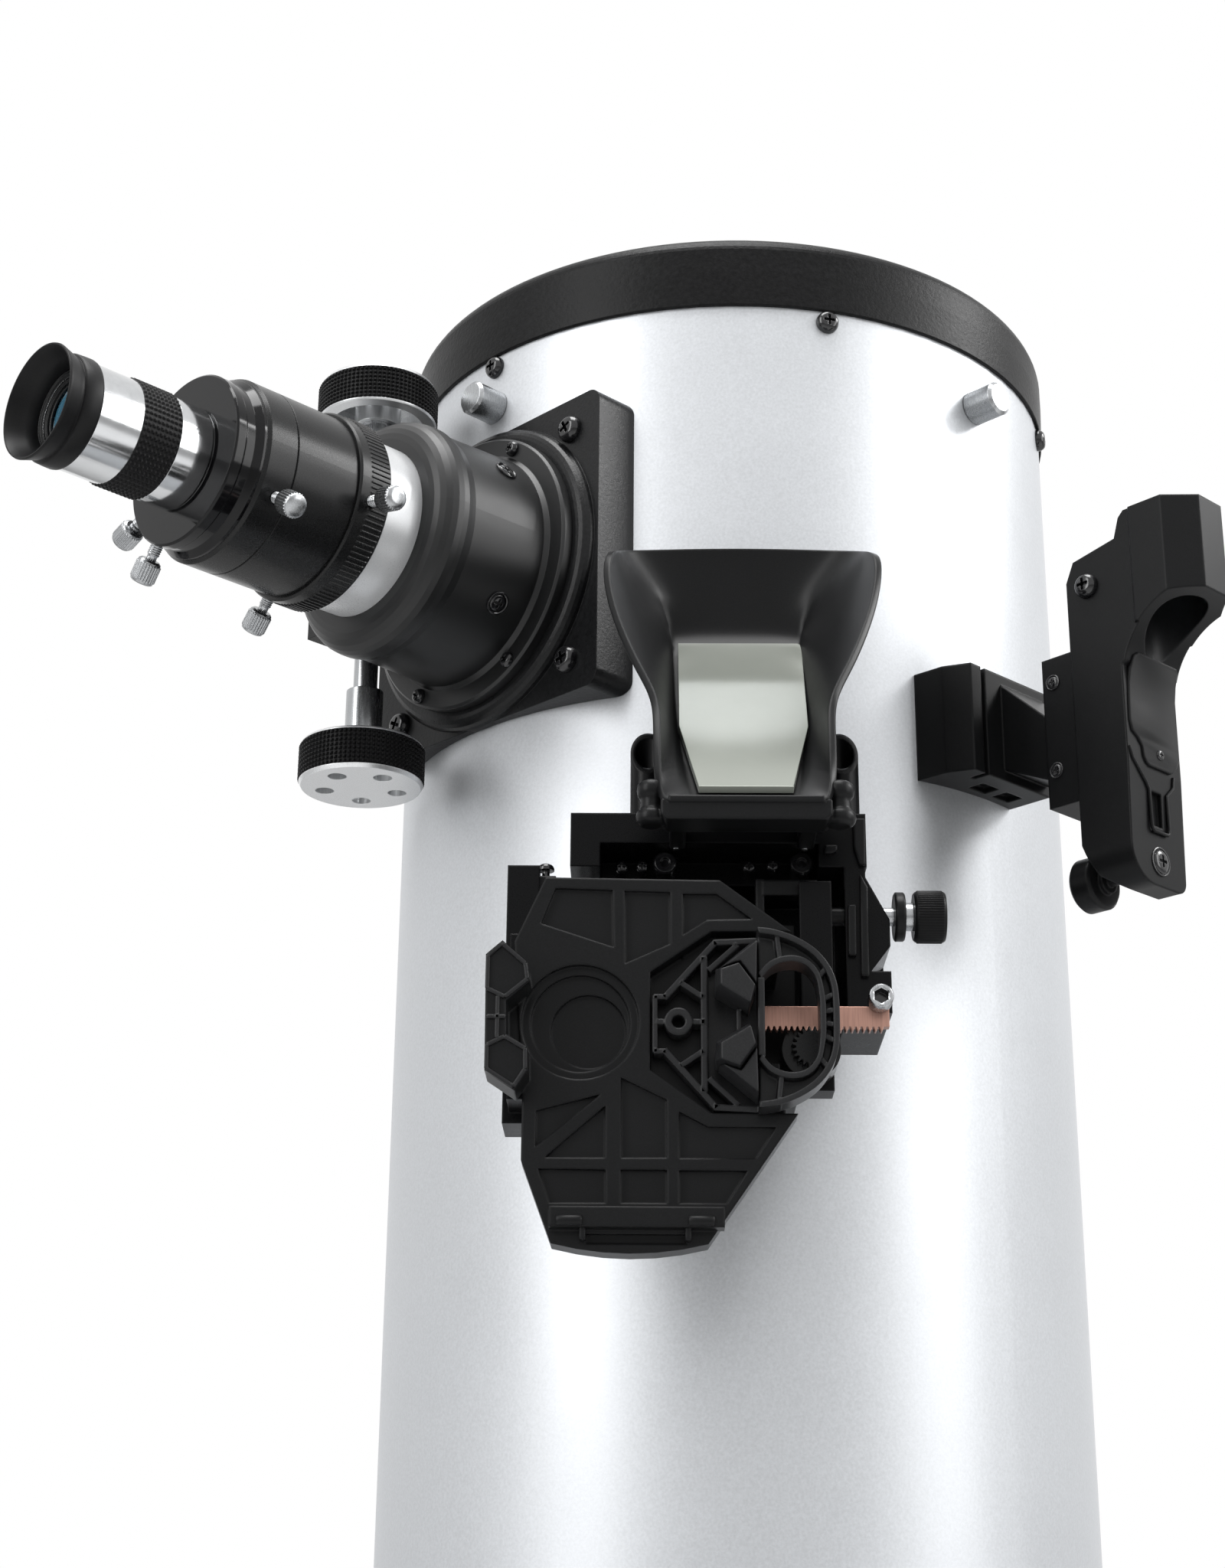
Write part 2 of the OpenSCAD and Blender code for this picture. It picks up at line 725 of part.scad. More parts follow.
// Eyepiece shell: barrel, chrome bands and the groove that the grip sits in
band_r = grip_d / 2 - 0.6;
lens_r = 11;
eye_bore = lens_r + seat;
module eyepiece_body() {
    barrel_r = barrel_d / 2;
    barrel_l = 26;
    groove_r = band_r - 1.2;
    a = low_band_l;
    b = a + grip_l;
    c = b + high_band_l;
    section = [[barrel_r - 1.6, -barrel_l], [barrel_r, -barrel_l], [barrel_r, 0.3], [band_r - 0.6, 0.3],
        [band_r, 1], [band_r, a], [groove_r, a], [groove_r, b], [band_r, b], [band_r, c], [eye_bore + 2, c],
        [eye_bore + 2, c + 3], [eye_bore, c + 3], [eye_bore, c - 4], [eye_bore - 2, c - 4], [barrel_r - 1.6, 0]];
    color("#d4d6d8") focuser() translate([0, 0, flange_s]) turned(section);
}

module eyepiece_grip() {
    color("#141416") focuser() translate([0, 0, grip_s]) rotate_extrude()
        translate([band_r - 1.2 + seat, 0]) square([grip_d / 2 - band_r + 1.2 - seat, grip_l]);
}

// Folding rubber cup: a cuff on the chrome band, a waist and a flared rim
module eyecup() {
    rim_r = band_r + 1.5;
    cuff = eyecup_l * 0.5;
    color("#131314") focuser() translate([0, 0, eyecup_s]) turned([[eye_bore + 2 + seat, 0], [band_r, 0],
        [band_r + 0.7, 0.8], [band_r + 0.5, cuff - 0.6], [band_r - 0.2, cuff], [band_r + 0.2, cuff + 1],
        [rim_r - 0.3, eyecup_l - 1.4], [rim_r, eyecup_l - 0.5], [rim_r - 0.6, eyecup_l],
        [rim_r - 1.4, eyecup_l - 0.3], [band_r - 2.4, cuff + 0.6], [eye_bore + 2 + seat, 4]]);
}

module eye_lens() {
    color("#3f7f8c") focuser() translate([0, 0, eyecup_s - 4])
        turned([[0, 0], [lens_r, 0], [lens_r, 4], [lens_r * 0.75, 4.9], [lens_r * 0.4, 5.5], [0, 5.8]]);
}

module focus_axle() {
    hub_r = axle_r + 2.2;
    hub_l = 19;
    hub_y = knob_reach - knob_h - hub_l;
    color("silver") focuser() translate([axle_x, axle_shift, axle_s]) {
        translate([0, -knob_reach + 3, 0]) along_y() cylinder(r = axle_r, h = 2 * knob_reach - 6);
        for (side = [0, 1]) mirror([0, side, 0]) translate([0, hub_y, 0]) along_y()
            cylinder(r = hub_r, h = hub_l);
    }
}

// A cup with a drilled face outside, a hollow towards the focuser and a hub on the axle
module focus_knobs() {
    r = knob_d / 2;
    skin = r - 1.7;
    face = 2.6;
    holes = 5;
    color("#d4d6d8") focuser() translate([axle_x, axle_shift, axle_s]) for (side = [0, 1]) mirror([0, side, 0])
        translate([0, knob_reach - knob_h, 0]) along_y() difference() {
            turned([[axle_r + seat, 0], [8, 0], [8, knob_h - face], [skin - 3, knob_h - face],
                [skin - 3, 0.6], [r - 0.6, 0.6], [r - 0.2, 1.4], [skin, 1.4], [skin, knob_h - 1.4], [r - 0.2, knob_h - 1.4],
                [r - 1, knob_h], [0, knob_h], [0, knob_h - 2.2],
                [axle_r + seat, knob_h - 2.2]]);
            for (i = [0 : holes - 1]) rotate([0, 0, 68 + 360 * i / holes]) translate([12.6, 0, 0])
                cylinder(r = 3.1, h = knob_h + 1);
        }
}

module knob_grips() {
    r = knob_d / 2;
    color("#141416") focuser() translate([axle_x, axle_shift, axle_s]) for (side = [0, 1]) mirror([0, side, 0])
        translate([0, knob_reach - knob_h + 1.5, 0]) along_y() rotate_extrude()
            translate([r - 1.6, 0]) square([1.6, knob_h - 3]);
}

// Finder foot: a block on the tube, a webbed arm and the dovetail plate
plate_rho = tube_r + 33;
plate_in = 12;
finder_rho = plate_rho + plate_in + 0.5;
plate_z = [-179.5, -129.5];
module finder_bracket() {
    block_z = [-165, -128.5];
    block_out = tube_r + 15.5;
    block = [[-26, block_out], [-30, tube_r + 7], [-31.5, tube_r - 14], [12, tube_r - 14], [12, block_out]];
    arm_w = 22;
    arm = [[block_out - 1, -131], [plate_rho + 1, -149], [plate_rho + 1, -170], [block_out - 1, -161]];
    color("#1a1a1c") difference() {
        finder() {
            translate([0, block_z[1], 0]) rotate([90, 0, 0])
                linear_extrude(block_z[1] - block_z[0]) polygon(block);
            translate([arm_w / 2, 0, 0]) rotate([0, -90, 0]) linear_extrude(arm_w) polygon(arm);
            translate([-12, plate_z[0], plate_rho]) cube([24, plate_z[1] - plate_z[0], plate_in]);
            translate([-9, plate_z[0] + 4, plate_rho + plate_in - eps]) cube([18, 42, 0.5 + eps]);
        }
        tube_cutter();
        finder() translate([-21, block_z[0] - 1, block_out - 6]) cube([2, 50, 10]);
        finder() for (x = [-14, -2]) translate([x, block_z[0] - 1, tube_r + 3]) cube([8, 3, 6]);
    }
}

// Finder body: a beam with a sight hood at its upper end and a scooped back
hood_rho = finder_rho + 31.5;
tunnel_off = 1;
module finder_body() {
    back = finder_rho + 19;
    top = -89;
    low = -209;
    half = finder_w / 2;
    nose = 12;
    heel = 4;
    outline = [[finder_rho, -107], [finder_rho + 3, -100.5], [back, -97.5], [back + 2, top - 2],
        [back + 4, top], [hood_rho, top], [hood_rho, -128], [back, -140], [back, -172], [back - 1, low],
        [finder_rho + 10, low], [finder_rho + 4, low + 4], [finder_rho, low + 14]];
    color("#17181a") finder() difference() {
        union() {
            intersection() {
                translate([half, 0, 0]) rotate([0, -90, 0]) linear_extrude(finder_w) polygon(outline);
                linear_extrude(hood_rho + 1) union() {
                    translate([-half, low + nose]) square([finder_w, 150]);
                    translate([-half + nose, low]) square([finder_w - nose - heel, 20]);
                    translate([-half + nose, low + heel]) square([finder_w - nose, 20]);
                    translate([-half + nose, low + nose]) circle(nose);
                    translate([half - heel, low + heel]) circle(heel);
                }
            }
            translate([0, -128, hood_rho]) along_y() rotate([0, 0, 22.5])
                cylinder(d = hood_d / cos(22.5), h = 128 + top, $fn = 8);
        }
        translate([0, -160, hood_rho - tunnel_off]) along_y() cylinder(d = tunnel_d, h = 100);
        translate([-40, -145.5, hood_rho + 13]) rotate([0, 90, 0]) cylinder(r = 25.2, h = 80);
        translate([0, -203, finder_rho - 1]) cylinder(r = 2 + fit, h = 9);
        translate([0, -184.5, back - 2]) linear_extrude(5) square([5, 11], center = true);
    }
}

// Tinted pane across the sight tunnel
module finder_window() {
    color("#8fb0b8") finder() translate([0, -101, hood_rho - tunnel_off]) along_y()
        cylinder(d = tunnel_d - 2 * seat, h = 1.6);
}

// Tilt knob on the finder's inner face, under the dovetail plate
module finder_knob() {
    r = 8.6;
    color("#151517") finder() translate([0, -203, 0]) {
        translate([0, 0, finder_rho - 10])
            turned([[0, 0], [r - 1, 0], [r, 1], [r, 7], [r - 1, 8], [4, 8], [4, 9.8], [0, 9.8]]);
        translate([0, 0, finder_rho - 1]) cylinder(r = 2, h = 8);
    }
}

// Outline of the phone plate, with the notch for the sliding jaw
notch_l = -28.7;
plate_edge = concat([[-65, -251], [-57, -233], [-10, -233.7], [9, -248], [-12.3, -248], [notch_l, -259.3],
    [notch_l, -286], [-12.5, -297.4], [10, -297.4]],
    arc([-33.8, -252], 82, -75.7, -104.3, 6), [[-62.1, -310], [-62.1, -290]]);

// Floor of the notch, with two rails that the jaw slides on
jaw_floor = [[notch_l - 1, -292], [-20, -292], [-20, -299], [7, -299], [7, -291], [-7.7, -291], [-7.7, -255],
    [7, -255], [7, -247], [-20, -247], [-20, -254], [notch_l - 1, -254]];

// Shallow pockets between the ribs of the phone plate
pockets = [[[-58, -246], [-54.3, -236], [-38.9, -236.5], [-38.5, -252.5]],
    [[-35.7, -236.7], [-23.4, -237], [-23.4, -251.5], [-35.4, -257]],
    [[-20, -237.5], [-10.9, -237.5], [-1.5, -244.5], [-13.5, -244.8], [-20, -249]],
    [[-58.4, -297], [-58.4, -306.5], [-41.5, -292.5]],
    [[-56, -309.3], [-40.3, -295.5], [-40.3, -309.3]],
    [[-36.3, -288], [-24.3, -293.9], [-24.2, -309.2], [-36.1, -309.3]],
    [[-21.1, -297], [-13.5, -301], [4.2, -301], [-1.2, -309.3], [-21.1, -309.3]],
    [[-57.6, -312.2], [-40.1, -312.4], [-40, -321], [-54.6, -321.1]],
    [[-36.2, -312.4], [-24.2, -312.4], [-24.2, -321], [-36.2, -321]],
    [[-21.1, -312.5], [-3.4, -312.5], [-8.8, -321], [-21.1, -321]]];
pocket_d = 1.6;

platform_back = platform_off - platform_t;
cross_n = platform_back - 9;
cross_y = [-250, -286];
rack_y = -270.6;
rack_n = platform_back - 9.5;
rack_t = 3;
pinion_r = rack_module * pinion_teeth / 2;
pinion_x = 15;
pinion_y = rack_y - pinion_r;

// Fixed frame of the dock: saddle, back plate, top bar, side cheek and two sockets
rod_x = [-44, -14];
rod_n = 36;
top_bar = [-219.5, -203.5];
lug_y = -304;
knob_n = 58;
knob_y = -233;
post_x = [-29.5, 27.5];
module dock_bracket() {
    back = [[-50, lug_y], [-6, lug_y], [-2, -280], [26, -262], [26, -203.5], [-50, -203.5]];
    saddle = [[-38, -298], [-10, -298], [-8, -278], [24, -260], [24, -204], [-38, -204]];
    cheek = [[0, 0], [12.5, 0], [12.5, 27], [6, 39.5], [6, 44], [0, 44]];
    color("#151517") difference() {
        dock() {
            translate([0, 0, tube_r - 12]) linear_extrude(34) polygon(saddle);
            dock_slab(14, 22) polygon(back);
            dock_slab(22 - eps, 62) translate([-51.5, top_bar[0]]) square([84, top_bar[1] - top_bar[0]]);
            dock_slab(22 - eps, 46) translate([-50, lug_y]) square([44, 8]);
            dock_slab(14, 62) translate([26, -262]) polygon(cheek);
            for (x = post_x) translate([x, top_bar[1] - eps, tube_r + 42]) along_y()
                cylinder(r = 5.2, h = 35.6);
        }
        tube_cutter();
        dock() {
            for (x = rod_x) translate([x, lug_y - 1, tube_r + rod_n]) along_y()
                cylinder(r = rod_d / 2 + seat, h = 97);
            for (x = post_x) translate([x, top_bar[1], tube_r + 42]) {
                translate([0, 4, 0]) along_y() cylinder(r = 3.9, h = 40);
                translate([-8, 35.6, -6]) rotate([58, 0, 0]) cube([16, 30, 30]);
            }
            translate([0, knob_y, tube_r + knob_n]) rotate([0, 90, 0]) cylinder(r = 2.6 + fit, h = 60);
            dock_slab(40, 70) polygon([[33, -250], [42, -238], [42, -250]]);
            dock_slab(44, 70) translate([-43, top_bar[0] - 1]) square([62, 8]);
        }
    }
}

module dock_rods() {
    color("silver") dock() for (x = rod_x) translate([x, lug_y, tube_r + rod_n]) along_y()
        cylinder(d = rod_d, h = 96);
}

// Scoop in front of the tilted mirror: an outer and an inner loft, open to the sky and to the phone
hood_x = -1;
// The tilted mirror's outline, grown by a margin, and extruded from its back
module mirror_slab(grow, t) {
    foot = [-208, 90];
    half = [[13 + grow, 2 - grow], [19 + grow, 50], [19.4 + grow, 106 + grow]];
    translate([hood_x, foot[0], tube_r + foot[1]]) rotate([-45, 0, 0]) linear_extrude(t)
        polygon([for (p = half) p, for (i = [2 : -1 : 0]) [-half[i][0], half[i][1]]]);
}

// One corner row of the scoop: half width, height, distance from the tube, corner radius
function row(w, y, n, r) = [w, y, n, r];
module corners(rows) {
    hull() for (p = rows, side = [-1, 1])
        translate([hood_x + side * p[0], p[1], tube_r + p[2]]) sphere(p[3], $fn = 16);
}

module dock_hood() {
    mouth = [row(37.5, -102, 15, 5), row(42.2, -118, 44, 1.2)];
    waist = [row(27, -119, 14.5, 5), row(38.5, -139, 56, 1.2)];
    throat = [row(18.6, -134, 13.5, 4.5), row(22.4, -167, 70.5, 1.2)];
    base = [row(22.4, -203, 90, 1.2), row(22.4, -213, 90, 1.2), row(22.4, -213, 80, 1.2)];
    in_mouth = [row(40.5, -97, 15, 2.8), row(42.6, -110, 70, 0.1)];
    in_waist = [row(27, -119, 14.5, 2.8), row(39.6, -136, 80, 0.1)];
    in_throat = [row(17.2, -131, 15.6, 2.6), row(20.4, -165, 95, 0.1)];
    in_base = [row(14, -206.4, 89.6, 0.1), row(19.6, -163.4, 47.4, 0.1), row(14, -204, 105, 0.1),
        row(19.4, -192, 105, 0.1)];
    color("#1a1b1d") dock() {
        difference() {
            union() {
                corners(concat(mouth, waist));
                corners(concat(waist, throat));
                corners(concat(throat, base));
            }
            corners(concat(in_mouth, in_waist));
            corners(concat(in_waist, in_throat));
            corners(concat(in_throat, in_base));
            mirror_slab(seat, 30);
        }
        dock_slab(80, 91) translate([hood_x - 29, -216]) square([58, 7]);
        for (x = [-24, 13]) dock_slab(62, 82) translate([x, -214.5]) square([5, 5]);
    }
}

module dock_mirror() {
    color("#c7d0c6") dock() mirror_slab(0, 2.4);
}

// Sliding carriage behind the phone plate
lug_x = [-67, 0];
module dock_carriage() {
    lug = 6;
    color("#18181a") dock() difference() {
        union() {
            dock_slab(26, 60) translate([-62, -286]) square([74, 50]);
            dock_slab(46, 64) translate([-69, -294]) square([9, 74]);
            dock_slab(52, 62) translate([11, -284]) square([11, 24]);
            for (y = cross_y, x = lug_x) dock_slab(60 - eps, cross_n + 5)
                translate([x, y - 5]) square([lug, 10]);
            dock_slab(62.5, 66) translate([13, -262]) square([9, 37]);
            dock_slab(58, 66) translate([13, -264]) square([9, 8]);
        }
        for (x = rod_x) translate([x, -340, tube_r + rod_n]) along_y() cylinder(r = rod_d / 2 + fit, h = 140);
        translate([pinion_x, pinion_y, tube_r + 40]) cylinder(r = 3 + fit, h = 40);
        for (y = cross_y) translate([lug_x[0] - 1, y, tube_r + cross_n]) rotate([0, 90, 0])
            cylinder(r = cross_rod_d / 2 + seat, h = 100);
    }
}

module cross_rods() {
    color("silver") dock() for (y = cross_y) translate([lug_x[0], y, tube_r + cross_n]) rotate([0, 90, 0])
        cylinder(d = cross_rod_d, h = lug_x[1] - lug_x[0] + 6);
}

// The plate that the phone lies on, with ribs, a camera recess, a bottom ledge and the fixed jaw
module phone_platform() {
    recess = [-47.2, -273];
    jaw = [[-71.8, -258], [-67.5, -254.2], [-60.8, -260.2], [-60.1, -265.1], [-66.3, -270.5], [-66, -279.4],
        [-60.4, -282.9], [-60.3, -289], [-63.6, -294.3], [-71.4, -289.1]];
    face = tube_r + platform_off;
    color("#1d1e20") dock() difference() {
        union() {
            dock_slab(platform_back, platform_off) polygon(plate_edge);
            dock_slab(platform_back + 0.6, platform_off - 6) polygon(jaw_floor);
            for (y = cross_y) dock_slab(cross_n - 6, platform_back + 1.8)
                translate([-46, y - 6]) square([30, 12]);
            dock_slab(rack_n + rack_t, platform_back + 1.8) translate([-24, -273]) square([14, 9]);
            dock_slab(platform_back + 2, platform_off - 0.4) translate([-70.6, -287.5]) square([12, 28]);
            dock_slab(platform_off - 1, platform_off + jaw_h) polygon(jaw);
            dock_slab(platform_off - 1, platform_off + 5) translate([-54.4, -328]) square([44.9, 5.2]);
        }
        for (p = pockets) translate([0, 0, face - pocket_d]) linear_extrude(10) polygon(p);
        translate([recess[0], recess[1], face - 2]) cylinder(r = 15.6, h = 10);
        translate([recess[0], recess[1], face - 3.6]) cylinder(r = 13.2, h = 10);
        translate([recess[0] + 2.2, recess[1] - 1.8, face - 5.2]) cylinder(r = 10, h = 10);
        translate([-45, -331.5, face - pocket_d]) cube([26, 2.5, 10]);
        for (y = cross_y) translate([-80, y, tube_r + cross_n]) rotate([0, 90, 0])
            cylinder(r = cross_rod_d / 2 + fit, h = 120);
    }
}

// Sliding jaw: an open truss in the notch, two grips and a finger loop
jaw_mid = -273.5;
loop_out = [[-1.2, 24.6], [3, 24.8], [10, 23.2], [14.6, 20.2], [18.2, 15.6], [20.4, 10.2], [20.8, 4]];
loop_in = [[1, 9], [3.4, 12], [8, 13.8], [11.6, 12.2], [14, 8.6], [14.8, 4]];
groove_out = [[1, 22.8], [9.4, 21.6], [13.6, 18.8], [16.8, 14.6], [18.8, 9.6], [19.2, 4]];
groove_in = [[0.4, 12], [3, 14], [8, 15.6], [12.8, 13.4], [15.6, 9], [16.4, 4]];
grip_edge = [[-1.3, 21.6], [-4.6, 20], [-10, 16.6], [-11.4, 13], [-10.4, 8.6], [-5.4, 4.6], [-1.3, 4.6],
    [-1.3, 8], [-6, 10], [-7.4, 13], [-6, 15.6], [-1.3, 18]];

// An outline that is the same above and below the jaw's middle line
module mirrored(points) {
    polygon(concat(points, [for (i = [len(points) - 1 : -1 : 0]) [points[i][0], -points[i][1]]]));
}

module both_sides() {
    children();
    mirror([0, 1]) children();
}

module right_jaw() {
    base0 = platform_off - 5.7;
    base1 = platform_off + 0.5;
    top = platform_off + jaw_h;
    loop_top = platform_off + jaw_h * 0.75;
    rib = 1.2;
    color("#1a1b1d") dock() translate([0, jaw_mid, 0]) {
        dock_slab(base0, base1) difference() {
            mirrored([[-28, 7], [-11.6, 23.4], [2, 23.4]]);
            translate([-25.6, -5.6]) square([1.6, 11.2]);
            both_sides() {
                polygon([[-24.6, 8], [-16.6, 16], [-16.6, 8]]);
                polygon([[-14, 9], [-14, 18.6], [-11.4, 21], [-3, 21], [-3, 9]]);
                polygon([[-22, 2], [-20, 5.4], [-5, 5.4], [-5, 4], [-17, 4], [-18, 2]]);
            }
        }
        difference() {
            dock_slab(base1 - eps, loop_top) difference() {
                mirrored(loop_out);
                mirrored(loop_in);
            }
            dock_slab(loop_top - 5, loop_top + 1) difference() {
                mirrored(groove_out);
                mirrored(groove_in);
                for (a = [-75 : 30 : 75]) translate([7, 0]) rotate(a) translate([0, -rib / 2]) square([30, rib]);
            }
        }
        dock_slab(base1 - eps, top) both_sides() polygon(grip_edge);
    }
}

// A rack with teeth below, cut from flat bar
module adjust_rack() {
    pitch = PI * rack_module;
    x0 = -20;
    x1 = 36;
    top = rack_y + 6.2;
    root = rack_y + 1.25 * rack_module;
    tip = rack_y - rack_module;
    first = pinion_x - pitch * floor((pinion_x - 2) / pitch);
    count = floor((x1 - 1.5 - first) / pitch) + 1;
    thin = 0.08;
    teeth = [for (i = [0 : count - 1]) let (x = first + pitch * i)
        each [[x - pitch * 0.42 + thin, root], [x - pitch * 0.15, tip], [x + pitch * 0.15, tip],
            [x + pitch * 0.42 - thin, root]]];
    color("#b8735a") dock() dock_slab(rack_n, rack_n + rack_t)
        polygon(concat([[x1, top], [x0, top], [x0, root]], teeth, [[x1, root]]));
}

module adjust_pinion() {
    root = pinion_r - 1.25 * rack_module;
    tip = pinion_r + rack_module;
    step = 360 / pinion_teeth;
    teeth = [for (i = [0 : pinion_teeth - 1]) let (a = 90 + (i + 0.5) * step)
        each [root * dir(a - step * 0.36), tip * dir(a - step * 0.1), tip * dir(a + step * 0.1),
            root * dir(a + step * 0.36)]];
    color("#2a2a2c") dock() translate([pinion_x, pinion_y, tube_r]) {
        translate([0, 0, rack_n]) linear_extrude(rack_t) polygon(teeth);
        translate([0, 0, 62]) cylinder(r = 8, h = rack_n - 62);
        translate([0, 0, 50]) cylinder(r = 3, h = 13);
    }
}

// Knurled side knob and its shaft, which ends in a friction wheel
module side_knob() {
    color("#151517") dock() translate([0, knob_y, tube_r + knob_n]) rotate([0, 90, 0]) {
        translate([0, 0, 13]) cylinder(r = 4.2, h = 9);
        translate([0, 0, 13]) cylinder(r = 2.6, h = 30);
        translate([0, 0, 40]) cylinder(r = 7, h = 3);
        translate([0, 0, 43]) cylinder(r = 4, h = 2.5);
        translate([0, 0, 45.5]) cylinder(r = 7.5, h = 9);
    }
}

ground_board();
base_feet();
azimuth_glides();
azimuth_pivot();
rocker_floor();
side_panels();
front_panel();
carry_handle();
altitude_pads();
eyepiece_rack();
panel_bolts();
optical_tube();
front_ring();
button_screws();
spider();
spider_nuts();
secondary_holder();
secondary_mirror();
mirror_cell();
mirror_tray();
primary_mirror();
collimation_springs();
trunnions();
focuser_plate();
focuser_housing();
axle_block();
finder_bracket();
finder_body();
finder_window();
dock_bracket();
dock_rods();
dock_hood();
dock_mirror();
collimation_knob_a();
collimation_knob_b();
collimation_knob_c();
drawtube();
drawtube_collar();
extension_tube();
eyepiece_adapter();
collar_thumbscrew_a();
collar_thumbscrew_b();
extension_thumbscrew();
adapter_thumbscrew_a();
adapter_thumbscrew_b();
eyepiece_body();
eyepiece_grip();
eyecup();
eye_lens();
focus_axle();
focus_knobs();
knob_grips();
dock_carriage();
cross_rods();
phone_platform();
right_jaw();
adjust_rack();
adjust_pinion();
side_knob();
finder_knob();
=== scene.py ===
"""Looks of a reflector telescope on a rocker base: finishes, fine pieces, studio and camera.

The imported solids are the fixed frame. Lengths are in millimetres until a mesh is made.
"""

import logging
from collections.abc import Callable, Iterable, Sequence
from dataclasses import dataclass, replace
from enum import Enum
from math import cos, pi, radians, sin, sqrt

import bmesh
import bpy
from bpy.types import ID, Material, Mesh, Node, NodeSocket, NodeTree, Object
from mathutils import Matrix, Vector


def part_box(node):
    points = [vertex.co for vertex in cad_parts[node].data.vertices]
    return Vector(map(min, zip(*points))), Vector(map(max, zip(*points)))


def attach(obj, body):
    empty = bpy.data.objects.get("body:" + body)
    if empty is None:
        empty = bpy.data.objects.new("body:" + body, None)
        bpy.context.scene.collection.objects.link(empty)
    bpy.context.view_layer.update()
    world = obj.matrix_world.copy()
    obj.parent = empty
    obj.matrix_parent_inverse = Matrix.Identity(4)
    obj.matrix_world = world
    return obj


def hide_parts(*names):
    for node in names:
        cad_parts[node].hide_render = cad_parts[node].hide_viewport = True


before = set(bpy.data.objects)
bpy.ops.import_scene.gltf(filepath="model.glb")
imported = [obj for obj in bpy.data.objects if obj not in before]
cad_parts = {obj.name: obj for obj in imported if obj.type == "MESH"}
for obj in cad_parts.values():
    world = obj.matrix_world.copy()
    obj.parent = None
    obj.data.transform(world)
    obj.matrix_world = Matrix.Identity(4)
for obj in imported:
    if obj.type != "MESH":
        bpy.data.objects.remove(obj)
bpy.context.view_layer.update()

LOG = logging.getLogger("telescope")
MM = 0.001
HERE = Matrix.Identity(4)

Triple = tuple[float, float, float]
Flat = tuple[float, float]
Outline = tuple[Flat, ...]
Ring = list[Vector]
Links = dict[str | int, NodeSocket]


class Grain(Enum):
    """How the grain of a finish is drawn out, as its scale along each axis."""

    EVEN = (1, 1, 1)
    BRUSHED = (1, 1, 0.04)
    LAMINATE = (1, 0.06, 1)


@dataclass(frozen=True)
class Finish:
    """One surface finish, with the procedural material that shows it.

    Sizes are in millimetres: grain_mm is the size of the grain, relief_mm its depth, and edge_mm the
    radius to which a sharp edge is eased.
    """

    label: str
    slot: str
    colour: Triple
    roughness: float
    metallic: float = 0.0
    grain_mm: float = 0.6
    tint: float = 0.1
    relief_mm: float = 0.01
    spread: float = 0.06
    coat: float = 0.0
    edge_mm: float = 0.35
    transmission: float = 0.0
    specular: float = 0.5
    grain: Grain = Grain.EVEN

    def material(self) -> Material:
        """Makes the material, or gives the one made before.

        Returns:
            The node material of this finish.
        """
        made = bpy.data.materials.get(self.label)
        if made is None:
            made = bpy.data.materials.new(self.label)
            made.use_nodes = True
            made.diffuse_color = (*self.colour, 1)
            FinishNodes(self, made.node_tree).build()
        return made


def add_node(tree: NodeTree, kind: str, links: Links, **values: float | Sequence[float]) -> Node:
    """Adds a node to a material or a world.

    Args:
        tree: The nodes to add to.
        kind: Its type, without the part that all share.
        links: The socket that feeds each linked input.
        values: Plain values of other inputs, with _ for a space in a name.

    Returns:
        The node.
    """
    node = tree.nodes.new(f"ShaderNode{kind}")
    for name, value in values.items():
        node.inputs[name.replace("_", " ")].default_value = value
    for name, source in links.items():
        tree.links.new(source, node.inputs[name])
    return node


